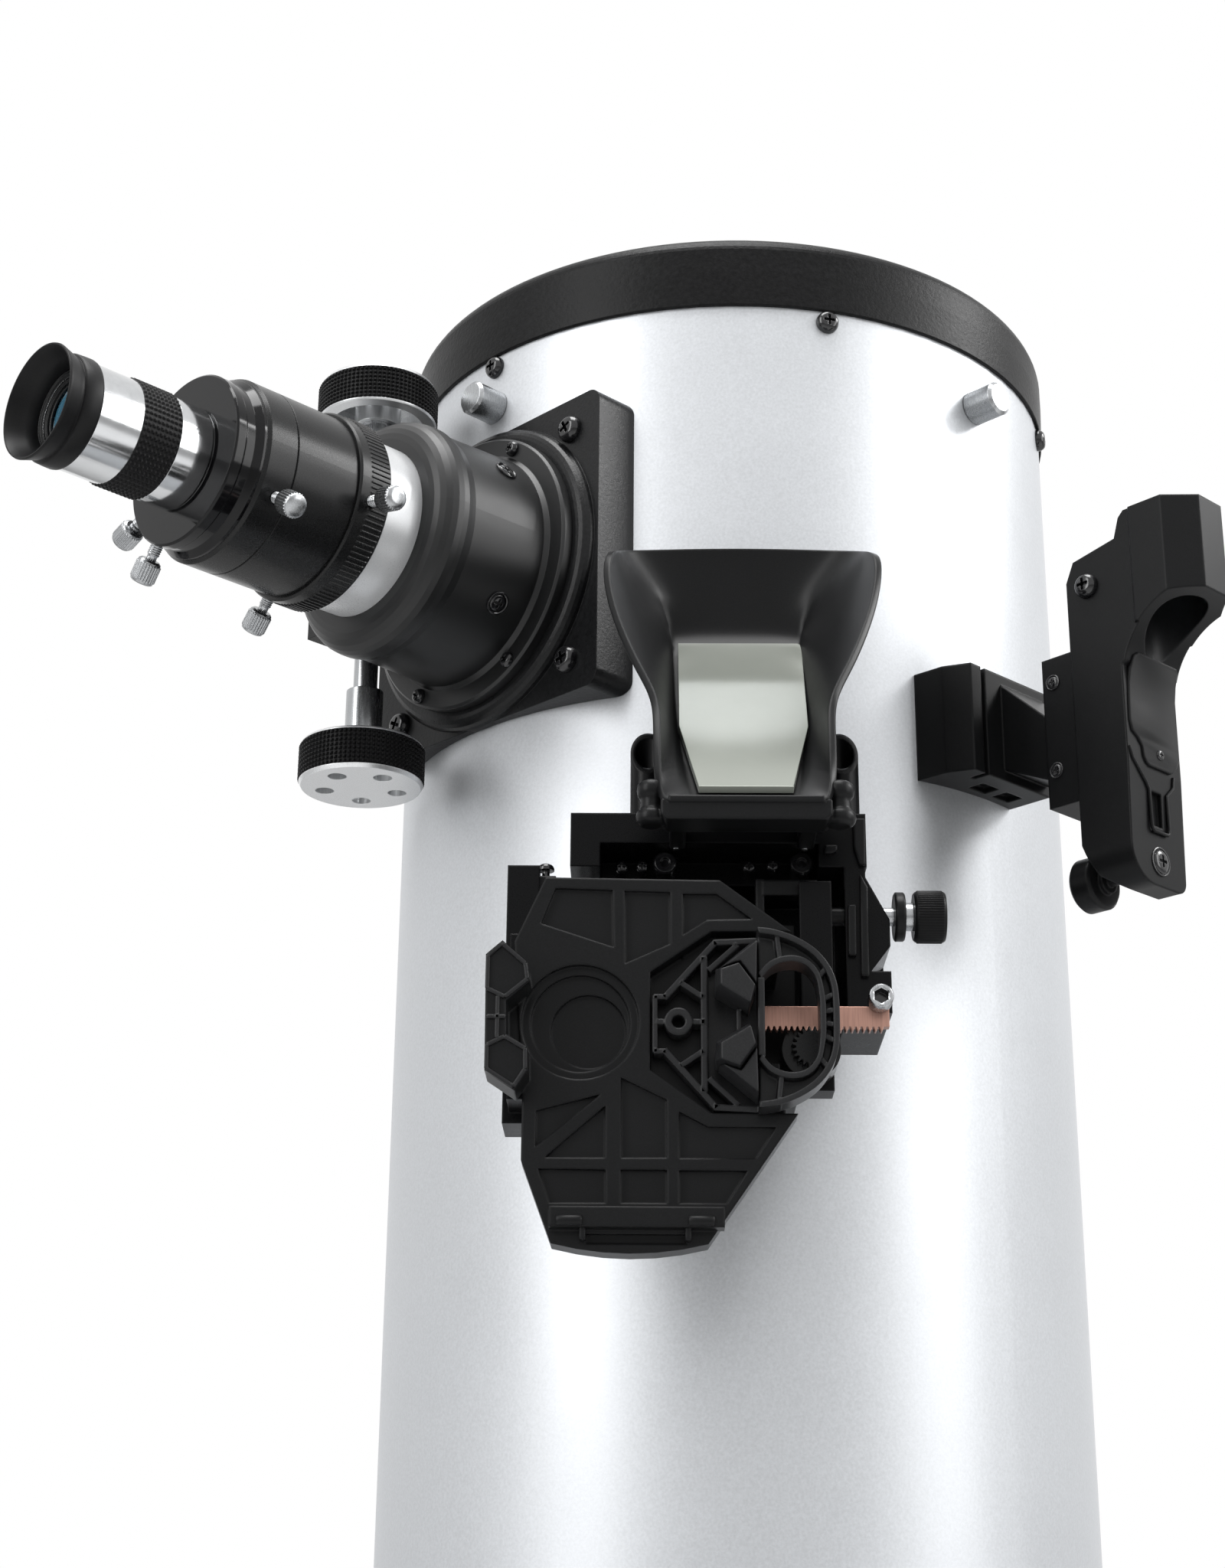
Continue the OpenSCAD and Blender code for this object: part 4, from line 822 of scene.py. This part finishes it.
@dataclass
class Scoop:
    """Flared hood round the tilted mirror of the phone dock.

    The rows run from the mouth down to the foot. Each gives its middle line, the front edge, the inner
    corner and the middle of the back as half width, height under the ring and distance off the tube, and
    how sharp the corner is.
    """

    wall: float = 2.2
    lip: float = 0.95
    softness: float = 0.6
    foot_y: Flat = (-215.6, -209.6)
    foot_n: Flat = (80, 91.6)
    plate: Outline = (
        (-14.6, 0.4), (11.4, 0.4), (17.8, 42), (19.3, 107), (-19.3, 107), (-19.6, 42),
    )
    ear: Outline = (
        (0, -1), (3, -1), (4.2, 0), (4.5, 1.4), (4.2, 2.8), (3.2, 3.8),
        (3, 6.6), (3.9, 7.8), (4.2, 9.4), (3.9, 11), (2.8, 12), (0, 12.2),
    )
    rows: tuple[tuple[float, Triple, Triple, Flat, float], ...] = (
        (-0.8, (39.6, -113.5, 46.5), (37.4, -98.4, 15.6), (-97.6, 15.8), 0),
        (-1.3, (40.4, -122.5, 51.5), (33.6, -103.5, 14.8), (-103, 14.8), 0),
        (-1.7, (37.7, -139, 59), (25.4, -113.5, 13.9), (-113.5, 13.9), 0.2),
        (-2, (30.2, -160.5, 69.6), (21.8, -122.5, 13.5), (-122.5, 13.5), 0.7),
        (-2.3, (23.9, -173, 75.6), (19.4, -131.8, 13.8), (-131.8, 13.8), 1),
        (-2.5, (23.4, -186, 82), (19.2, -168, 48.6), (-168, 48.6), 1),
        (-2.6, (23.6, -202, 88.6), (16.6, -196, 76.6), (-196, 76.6), 1),
        (-2.7, (23, -210.4, 92.2), (14, -210.8, 91.4), (-210.8, 91.4), 1),
    )

    def build(self) -> None:
        """Makes the shell, the mirror in it and its foot."""
        self._shell()
        self._mirror()
        self._foot()

    def _shell(self) -> None:
        """A smooth sheet through the rows, thickened outward."""
        rings, sharp = [], []
        for mid, front, corner, back, crease in self.rows:
            f, c, m = Vector(front), Vector(corner), Vector((0, *back))
            before, after = f.lerp(c, 0.66), c.lerp(m, 0.34)
            c = c.lerp((before + after) / 2, self.softness * (1.0 - crease))
            half = [f, f.lerp(c, 0.36), before, c, after, m]
            ring = [Vector((mid - p.x, p.y, p.z)) for p in half]
            ring += [Vector((mid + p.x, p.y, p.z)) for p in reversed(half[:-1])]
            rings.append(ring)
            sharp.append(crease)
        draft = Draft(PhoneDock.axis())
        draft.loft(rings, closed=False)
        shell = draft.piece("scoop_shell", "tube", PLASTIC, ["dock_hood"], smooth=35)
        mesh, across = shell.data, len(rings[0])
        creases = mesh.attributes.new("crease_edge", "FLOAT", "EDGE")
        for edge in mesh.edges:
            a, b = sorted(edge.vertices)
            if b - a == across and a % across in (3, across - 4):
                creases.data[edge.index].value = (sharp[a // across] + sharp[b // across]) / 2
        smooth = shell.modifiers.new("smooth", "SUBSURF")
        smooth.levels = smooth.render_levels = 3
        thick = shell.modifiers.new("wall", "SOLIDIFY")
        thick.thickness = self.wall * MM
        thick.offset = -1.0 if self._faces_in(mesh) else 1.0
        thick.use_even_offset = True
        round_off = shell.modifiers.new("lip", "BEVEL")
        round_off.width = self.lip * MM
        round_off.segments = 4
        round_off.limit_method = "ANGLE"
        round_off.angle_limit = radians(50)

    @staticmethod
    def _faces_in(mesh: Mesh) -> bool:
        """Whether the sheet's faces look into the hood, by the middle of its back."""
        back = max(mesh.polygons, key=lambda p: p.center.y - abs(p.center.x))
        return back.normal.y < 0

    def _mirror(self) -> None:
        """The tilted mirror: a plate whose sides draw in towards the foot."""
        draft = Draft(PhoneDock.axis() @ shift(-1, -208, 90) @ turn(-45, "X"))
        draft.prism(self.plate, 0.2, 2.4)
        # The plate's grey colour is a painted reflection.
        draft.piece("mirror_plate", "tube", MIRROR_PAINTED_REFLECTION, ["dock_mirror"], ease=0.2)

    def _foot(self) -> None:
        """The tray under the mirror, with a rounded ear at each end and two legs on the top bar."""
        draft = Draft(PhoneDock.axis())
        y0, y1 = self.foot_y
        n0, n1 = self.foot_n
        draft.prism([(-26, y0 + 1.6), (-24.4, y0), (19.4, y0), (21, y0 + 1.6), (21, y1), (-26, y1)], n0, n1)
        draft.prism(oblong(-24, y1 - 1.4, 19, y1 + 0.8), n0, n1 + 1)
        for x in (-23.4, 13):
            draft.prism(oblong(x, -214.4, x + 4.6, -209), 62, n0 + 1)
        for x in (-28.4, 23.4):
            draft.lathe(self.ear, shift(x, y0 + 1, 85) @ turn(-90, "X"))
        draft.piece("scoop_foot", "tube", PLASTIC, ease=0.6)


@dataclass
class PhoneDock:
    """Small pieces of the phone dock, in its frame: X across, Y up from the front ring, Z off the tube."""

    rack_end: Triple = (33.5, -262.8, 77.5)
    knob: Triple = (0, -233, 58)
    rib_span: Flat = (61, 64)
    ribs: tuple[Outline, ...] = (
        ((20.6, -213.5), (24.2, -213.5), (24.1, -215.2), (22.6, -216), (20.6, -216)),
        ((28.8, -205.5), (32.2, -205.5), (31.9, -219.4), (30.4, -219.4), (28.8, -214.2)),
        ((26.8, -231.2), (29, -231.2), (28.8, -246), (26.6, -246)),
        ((30.4, -222), (32.4, -226), (32.2, -252), (30, -252)),
    )
    jaw_span: Flat = (104, 105.4)
    jaw_wall: float = 1.1
    jaw_grips: tuple[Outline, ...] = (
        (
            (-71.2, -258.4), (-67.6, -255.2), (-61.4, -260.6), (-60.8, -264.8),
            (-66.6, -269.6), (-71.2, -267.4),
        ),
        (
            (-70.9, -288.8), (-63.8, -293.4), (-60.9, -288.8), (-61, -283.4),
            (-66.4, -280.2), (-70.9, -282.4),
        ),
    )

    @classmethod
    def axis(cls) -> Matrix:
        """Frame of the dock."""
        return radial(0, RING_Z) @ shift(z=TUBE_R)

    def build(self) -> None:
        """Makes every small piece of the dock."""
        self._rack_post()
        self._side_knob()
        self._carriage_screw()
        self._mechanism()
        self._ribs()
        self._ledge()
        self._left_jaw()

    def _rack_post(self) -> None:
        """Socket screw at the end of the rack."""
        place = self.axis() @ shift(*self.rack_end)
        profile = ((3, 0), (3.4, 0.3), (3.4, 5.4), (3.1, 5.8), (2.5, 5.9))
        mouth = star(hex_reach(1.9), 5.6, 48)
        post = Draft(place)
        post.loft([*(circle(r, h, 48) for r, h in profile), mouth], caps=(True, False))
        post.piece("rack_post", "platform", STEEL)
        # Painted shade: the hex socket inside the steel post takes the dark black-oxide finish.
        socket = Draft(place)
        socket.loft([mouth, star(hex_reach(1.8), 2.2, 48)], caps=(False, True))
        socket.piece("rack_socket", "platform", BLACK_SCREW)

    def _side_knob(self) -> None:
        """Ridged height knob with a bright shaft."""
        place = self.axis() @ shift(*self.knob) @ turn(90, "Y")
        knob = Draft(place)
        knob.lathe([(2.6, 40), (6.4, 40), (7, 40.4), (7, 42.6), (6.6, 43), (2.6, 43)], sides=64)
        knob.lathe([(2.6, 45.5), (6.6, 45.5), (7.1, 46)], sides=64)
        knob.knurl((6.2, 7.15, 7.5), (46, 54), (60, 1))
        knob.lathe([(7.1, 54), (6.9, 54.4), (6.3, 54.5), (5.9, 54.2), (0, 54.2)], sides=64)
        knob.lathe([(0, 19.2), (4.2, 19.2), (4.2, 22), (2.7, 22), (2.7, 34)])
        knob.piece("height_knob", "height_wheel", PLASTIC, ["side_knob"], smooth=30)
        shaft = Draft(place)
        shaft.lathe([(2.6, 33.9), (2.6, 39.9)])
        shaft.lathe([(2.6, 42.8), (4, 43), (4, 45.4), (2.6, 45.6)])
        shaft.piece("height_shaft", "height_wheel", STEEL)

    def _carriage_screw(self) -> None:
        """A lug on the carriage with an upright screw, and the cross bar beside it."""
        draft = Draft(self.axis())
        draft.prism(oblong(-62, -227, -55.4, -222.4), 50, 62)
        draft.prism(oblong(1, -237, 3.4, -223.2), 56, 62.5)
        draft.prism(oblong(3, -228.2, 18.4, -223.6), 57, 62.8)
        draft.piece("carriage_lugs", "carriage", PLASTIC, ease=0.3)
        screw = Draft(self.axis() @ shift(-58.5, -222.6, 57) @ turn(-90, "X"))
        screw.lathe([(1.1, 0), (1.1, 3.2)], sides=24)
        screw.head(2.4, 1.9, shift(z=3.1))
        screw.piece("carriage_screw", "carriage", BLACK_SCREW)

    def _mechanism(self) -> None:
        """Rollers, pins and small screws in the slot of the top bar."""
        rollers, pins, heads = (Draft(self.axis()) for _ in range(3))
        roller = [(0, 0), (3.4, 0), (3.4, 11.1), (2.9, 11.7), (1.4, 11.7), (1.2, 10.9), (0, 10.9)]
        for x in (-24.5, 14.6):
            rollers.lathe(roller, shift(x, -216, 43.5), 40)
        rollers.piece("slot_rollers", "tube", BLACK_SCREW)
        for x in (-21.5, 15):
            at = shift(x, -214.6, 62.4) @ turn(-90, "X")
            pins.lathe([(0, 0), (0.9, 0), (0.9, 9.2), (0, 9.2)], at, 20)
        pins.piece("slot_pins", "tube", STEEL)
        for x, y in ((-31, -216.6), (-37, -216.8), (-0.4, -216.6), (6.4, -216.2)):
            seat = shift(x, y, 52)
            heads.lathe([(1, -8.5), (1, 0)], seat, 20)
            heads.head(1.9, 1.6, seat)
        heads.piece("slot_screws", "tube", BLACK_SCREW)

    def _ribs(self) -> None:
        """Upright ribs at the right end of the top bar and on the cheek."""
        draft = Draft(self.axis())
        for rib in self.ribs:
            draft.prism(rib, *self.rib_span)
        draft.piece("cheek_ribs", "tube", PLASTIC, ease=0.3)

    def _ledge(self) -> None:
        """Pegs and end hooks on the ledge that carries the phone's lower edge."""
        draft = Draft(self.axis())
        peg = [(0, 0), (1.2, 0), (1.4, 0.3), (1.4, 6.5), (1.2, 6.8), (0, 6.8)]
        for x, way in ((-49.2, 1), (-15.4, -1)):
            draft.lathe(peg, shift(x - 3.4, -326.4, 97.8) @ turn(90, "Y"), 24)
            hook = x + way * 3.4
            draft.prism(oblong(hook - 0.8, -331, hook + 0.8, -326), 92, 97)
        draft.piece("ledge_pegs", "platform", PLASTIC, ease=0.25)

    def _left_jaw(self) -> None:
        """Raised rims round the two grips of the fixed jaw, and a rib between them."""
        draft = Draft(self.axis())
        walls = [pair for grip in self.jaw_grips for pair in zip(grip, (*grip[1:], grip[0]))]
        walls.append(((-68.4, -269.4), (-68.4, -280.6)))
        walls.append(((-71.2, -274.9), (-66.2, -274.9)))
        for a, b in walls:
            draft.bar(a, b, self.jaw_wall, *self.jaw_span)
        # Painted light: the fixed jaw's rims take the lighter, front-lit copy of the moulded black.
        draft.piece("left_jaw_ribs", "platform", JAW_LIT_PLASTIC, ease=0.25)


@dataclass
class SlidingJaw:
    """The sprung right jaw: an open truss, two stepped grips and a ribbed finger loop.

    Half outlines give X and the distance from the jaw's middle line, and are mirrored across it. Each
    grip has its half outline at the foot and at the top, and how far it ends under the highest face.
    """

    mid: float = -273.6
    base: Flat = (87.6, 93.6)
    loop_top: float = 102.0
    grip_top: float = 104.6
    grip_slope: float = 2.6
    loop_mid: Flat = (7, 0)
    rib_angles: tuple[int, ...] = (-96, -52, -27, -9, 9, 27, 52, 96)
    outer: Outline = (
        (-0.6, 24.2), (4, 23.6), (9.6, 21.6), (14.8, 18.2), (18.4, 13.6), (20.2, 8.6), (20.7, 3),
    )
    inner: Outline = (
        (0.4, 10.2), (3.2, 13.4), (7.6, 14.9), (11.8, 14), (14.6, 10.6), (15.5, 5.4), (15.6, 2),
    )
    grips: tuple[tuple[Outline, Outline, float], ...] = (
        (
            ((-11.6, 12.4), (-11.6, 7.2), (-2.9, 2), (-1, 7.8), (-5.4, 14.2)),
            ((-10.2, 12), (-10.2, 7.9), (-2.6, 3.2), (-1.4, 7.8), (-5.6, 13.6)),
            0,
        ),
        (
            ((-10.9, 12.9), (-5.2, 14.6), (-0.9, 8.4), (-0.6, 21.6)),
            ((-9.4, 13.2), (-5.1, 14.8), (-1, 8.8), (-0.7, 20.2)),
            1.6,
        ),
    )
    truss: tuple[tuple[Flat, Flat, float], ...] = (
        ((-27.4, -0.1), (-27.4, 7.8), 1.4),
        ((-27.8, 7.4), (-24.4, 7.4), 1.4),
        ((-25, 7), (-11.2, 22.6), 1.7),
        ((-12, 22.3), (0.6, 22.9), 1.7),
        ((-14.4, -0.1), (-14.4, 18.4), 1.8),
        ((-20.8, 11.4), (-14.6, 7.2), 1.4),
        ((-13.2, 14.6), (-5.4, 21.8), 1.6),
    )

    def build(self) -> None:
        """Makes the jaw in place of the plain one."""
        draft = Draft(PhoneDock.axis() @ shift(y=self.mid))
        self._truss(draft)
        self._grips(draft)
        self._loop(draft)
        # Painted light: the sliding jaw takes the lighter, front-lit copy of the moulded black.
        draft.piece("sliding_jaw", "jaw", JAW_LIT_PLASTIC, ["right_jaw"], ease=0.3, smooth=30)

    @staticmethod
    def _mirrored(half: Sequence[Flat]) -> list[Flat]:
        """A half outline, from its start to the middle line, and its mirror image."""
        return [*half, *[(x, -y) for x, y in reversed(half)]]

    def _truss(self, draft: Draft) -> None:
        """Adds the walls of the truss and the round eye in its middle.

        Args:
            draft: The jaw's draft.
        """
        low, high = self.base
        for a, b, thick in self.truss:
            for way in (1, -1):
                draft.bar((a[0], way * a[1]), (b[0], way * b[1]), thick, low, high)
        rim = high + 0.3
        eye = [(1.7, low), (3.8, low), (3.8, high), (3.5, rim), (2, rim), (1.7, high)]
        draft.lathe(eye, shift(-21.2, 0.6), 40, True)
        draft.bar((-27, 0.6), (-24.4, 0.6), 1.5, low, high)
        draft.bar((-17.8, 0.6), (-14.2, 0.6), 1.5, low, high)
        draft.prism(self._mirrored([(-13.6, 15.2), (-6, 22), (0.4, 22)]), low, low + 1.2)

    def _grips(self, draft: Draft) -> None:
        """Adds two grips with slanted faces, and the wall that joins them to the loop.

        Args:
            draft: The jaw's draft.
        """
        low = self.base[1] - 1.0
        for way in (1, -1):
            for foot, crown, under in self.grips:
                rise = self.grip_top - under
                levels = ((foot, low), (foot, rise - self.grip_slope), (crown, rise))
                rings = [[Vector((x, way * y, z)) for x, y in line] for line, z in levels]
                draft.loft(rings, caps=(True, True))
        draft.prism(oblong(-0.6, -10.4, 1.2, 10.4), low, self.loop_top)
        draft.prism(oblong(-6, -3.2, -4.6, 3.2), low, low + 4)

    def _loop(self, draft: Draft) -> None:
        """Adds the finger loop: two walls, a sunk floor and short ribs.

        Args:
            draft: The jaw's draft.
        """
        low, top = self.base[1] - 1, self.loop_top
        centre = Vector(self.loop_mid)
        out = self._mirrored(flow(self.outer))
        hole = self._mirrored(flow(self.inner))

        def moved(line: Sequence[Flat], by: float) -> list[Flat]:
            """A line moved away from the loop's middle."""
            return [tuple(Vector(p) + (Vector(p) - centre).normalized() * by) for p in line]

        draft.prism([*out, *reversed(moved(out, -1.7))], low, top)
        draft.prism([*moved(hole, 1.6), *reversed(hole)], low, top)
        draft.prism([*moved(out, -1), *reversed(moved(hole, 1))], low, top - 4.4)
        for angle in self.rib_angles:
            a = radians(angle)
            ray = Vector((cos(a), sin(a)))
            ends = []
            for line, inset in ((hole, 0.4), (out, -0.4)):
                near = min(line, key=lambda p: abs((Vector(p) - centre).angle_signed(ray, 9)))
                ends.append(tuple(centre + ray * ((Vector(near) - centre).length + inset)))
            draft.bar(*ends, 1.3, low, top - 0.8)


@dataclass
class Finder:
    """Details of the reflex finder, in its frame: X along the tube's round, Y up, Z off the tube axis.

    The cover's rows give its height and its left and right edges.
    """

    azimuth: float = 44.0
    face: float = 182.0
    half: float = 13.7
    scoop_mid: Flat = (-145.5, 207.5)
    scoop_r: float = 25.2
    cover_rise: float = 0.7
    cover: tuple[Triple, ...] = (
        (-135.6, -8.4, 11.6), (-136.8, -10.4, 12.6), (-141, -11.2, 12.8), (-146, -11.6, 12.9),
        (-152, -12, 12.9), (-158, -12.2, 12.9), (-161.4, -11.4, 12.9), (-163.2, -8.6, 12.9),
        (-165.4, -6.6, 12.9), (-168.6, -6.2, 11), (-170.4, -5, 9.2), (-171.2, -3.4, 7.6),
    )
    ridges: tuple[Outline, ...] = (
        (
            (-13.2, -167), (-11.6, -170.6), (-5.4, -177), (-4.2, -179),
            (-4, -191), (-3.2, -192), (4.2, -192), (5, -191),
        ),
        ((5, -191), (5, -179), (8.6, -175.6), (9.2, -172)),
    )
    ridge_r: float = 0.55

    def axis(self) -> Matrix:
        """Frame of the finder."""
        return radial(self.azimuth, RING_Z)

    def back(self, y: float) -> float:
        """Distance of the outer face from the tube axis at a height.

        Args:
            y: Height from the ring.

        Returns:
            The distance, with the scoop's curve above its lowest point.
        """
        rise = y - self.scoop_mid[0]
        if rise <= 0:
            return self.face
        return self.scoop_mid[1] - sqrt(max(0, self.scoop_r**2 - rise * rise))

    def build(self) -> None:
        """Makes the cover, the ridges, the screws and the wheel."""
        self._cover()
        self._ridges()
        self._screws()
        self._wheel()

    def _cover(self) -> None:
        """Battery cover that follows the scooped back, with a stepped lower end."""
        rows = []
        for y, x0, x1 in self.cover:
            top = self.back(y) + self.cover_rise
            low, edge = top - 1.4, top - 0.2
            line = ((x0, low), (x0, edge), (x0 + 0.4, top), (x1 - 0.4, top), (x1, edge), (x1, low))
            rows.append([Vector((x, y, z)) for x, z in line])
        draft = Draft(self.axis())
        draft.loft(rows, caps=(True, True))
        draft.piece("battery_cover", "tube", PLASTIC, smooth=30)

    def _ridges(self) -> None:
        """Two raised lines that run from the cover down round the switch slot."""
        draft = Draft(self.axis())
        for line in self.ridges:
            draft.sweep([Vector((x, y, self.face + 0.15)) for x, y in line], self.ridge_r, sides=8)
        draft.piece("switch_ridges", "tube", PLASTIC, smooth=60)

    def _screws(self) -> None:
        """Cross screws in the back, in the pivot and in the dovetail plate."""
        draft = Draft(self.axis())
        side = turn(-90, "Y")
        back = shift(0.7, -201, self.face - 1)
        draft.lathe([(4.6, 0), (4.6, 0.5), (4.2, 0.6), (3.9, 0.1)], back)
        draft.head(3.8, 1.2, back)
        draft.head(1.7, 0.8, shift(2.2, -166.4, self.face + 0.6))
        draft.head(4, 3, shift(-self.half, -110.4, 171) @ side)
        for y, z in ((-137.9, 154.4), (-167.4, 154)):
            seat = shift(-12, y, z) @ side
            draft.lathe([(2.6, 0), (2.6, 0.4), (2.2, 0.5), (2, 0.1)], seat, 40)
            draft.head(2, 0.7, seat)
        draft.piece("finder_screws", "tube", BLACK_SCREW)

    def _wheel(self) -> None:
        """Ridged brightness wheel that stands out of the right side."""
        draft = Draft(self.axis() @ shift(9.4, -178.5, 174))
        draft.lathe([(0, 0), (5.2, 0), (5.6, 0.4)])
        draft.knurl((4.8, 5.7, 6.1), (0.4, 4), (24, 1))
        draft.lathe([(5.6, 4), (5.2, 4.4), (0, 4.4)])
        draft.piece("brightness_wheel", "tube", PLASTIC, smooth=30)


@dataclass
class Studio:
    """Floor, backdrop, lamps and the camera at the photograph's viewing angle.

    Lengths are in metres, angles in degrees. Each lamp has its name, where it hangs, its width and height,
    and its power in watts.
    """

    camera_place: Triple = (-0.0295, -0.845, 0.77078)
    pitch: float = 20.227
    yaw: float = 0.875
    roll: float = -0.512
    focal_px: float = 3230.0
    frame_px: float = 2048.0
    sensor_mm: float = 36.0
    near_clip: float = 0.01
    floor_half: float = 30.0
    ambient: float = 0.4
    lamp_target: Triple = (0, 0, 1)
    lamps: tuple[tuple[str, Triple, Flat, float], ...] = (
        ("left_strip", (-1.82, -1.6, 1.9), (0.95, 2.2), 35),
        ("right_strip", (2.1, -1.05, 1.7), (0.95, 2), 21),
        ("right_panel", (1.8, -0.02, 2.35), (0.7, 0.7), 22),
        ("top_panel", (-0.1, -0.5, 3.1), (1.2, 1.2), 40),
    )

    def build(self) -> None:
        """Makes the whole studio."""
        self._camera()
        self._world()
        self._floor()
        self._softboxes()
        bpy.context.scene.view_settings.view_transform = "Standard"

    def _camera(self) -> None:
        """Places the camera where the photograph was taken."""
        data = bpy.data.cameras.new("camera")
        data.sensor_width = self.sensor_mm
        data.lens = self.focal_px / self.frame_px * self.sensor_mm
        data.clip_start = self.near_clip
        camera = add_object("camera", data)
        bpy.context.scene.camera = camera
        turned = turn(self.yaw, "Z") @ turn(90 + self.pitch, "X") @ turn(-self.roll, "Z")
        camera.matrix_world = shift(*self.camera_place) @ turned

    def _world(self) -> None:
        """White where it is seen directly or in metal and glass, and plain soft light elsewhere."""
        world = bpy.data.worlds.new("studio")
        bpy.context.scene.world = world
        world.use_nodes = True
        tree = world.node_tree
        light = tree.nodes["Background"]
        light.inputs["Color"].default_value = (1, 1, 1, 1)
        light.inputs["Strength"].default_value = self.ambient
        white = add_node(tree, "Background", {}, Color=(1, 1, 1, 1), Strength=1)
        path = add_node(tree, "LightPath", {})
        seen = path.outputs["Is Camera Ray"]
        for kind in ("Is Glossy Ray", "Is Transmission Ray"):
            either = add_node(tree, "Math", {0: seen, 1: path.outputs[kind]})
            either.operation = "MAXIMUM"
            seen = either.outputs[0]
        mix = add_node(tree, "MixShader", {0: seen, 1: light.outputs[0], 2: white.outputs[0]})
        tree.links.new(mix.outputs[0], tree.nodes["World Output"].inputs["Surface"])

    def _floor(self) -> None:
        """A plain pale floor under the feet."""
        h = self.floor_half
        mesh = bpy.data.meshes.new("floor")
        mesh.from_pydata([(x, y, 0) for x, y in oblong(-h, -h, h, h)], [], [(0, 1, 2, 3)])
        floor = add_object("floor", mesh)
        mesh.materials.append(FLOOR.material())

    def _softboxes(self) -> None:
        """Hangs the soft lamps, which face the upper tube."""
        for name, place, size, watts in self.lamps:
            data = bpy.data.lights.new(name, "AREA")
            data.shape = "RECTANGLE"
            data.size, data.size_y = size
            data.energy = watts
            lamp = add_object(name, data)
            lamp.location = place
            toward = Vector(self.lamp_target) - Vector(place)
            lamp.rotation_euler = toward.to_track_quat("-Z", "Y").to_euler()


def dress_nodes() -> None:
    """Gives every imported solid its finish."""
    for finish, names in NODES_BY_FINISH.items():
        for name in names:
            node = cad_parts[name]
            node.data.materials.clear()
            node.data.materials.append(finish.material())
            LOG.info("dressed %s with %s", name, finish.label)


def main() -> None:
    """Builds the studio and every sub-assembly in order."""
    logging.basicConfig(level=logging.INFO, format="%(name)s: %(message)s")
    Studio().build()
    dress_nodes()
    HeadScrews().build()
    Focuser().build()
    Eyepiece().build()
    Springs().build()
    Scoop().build()
    PhoneDock().build()
    SlidingJaw().build()
    Finder().build()


if __name__ == "__main__":
    main()
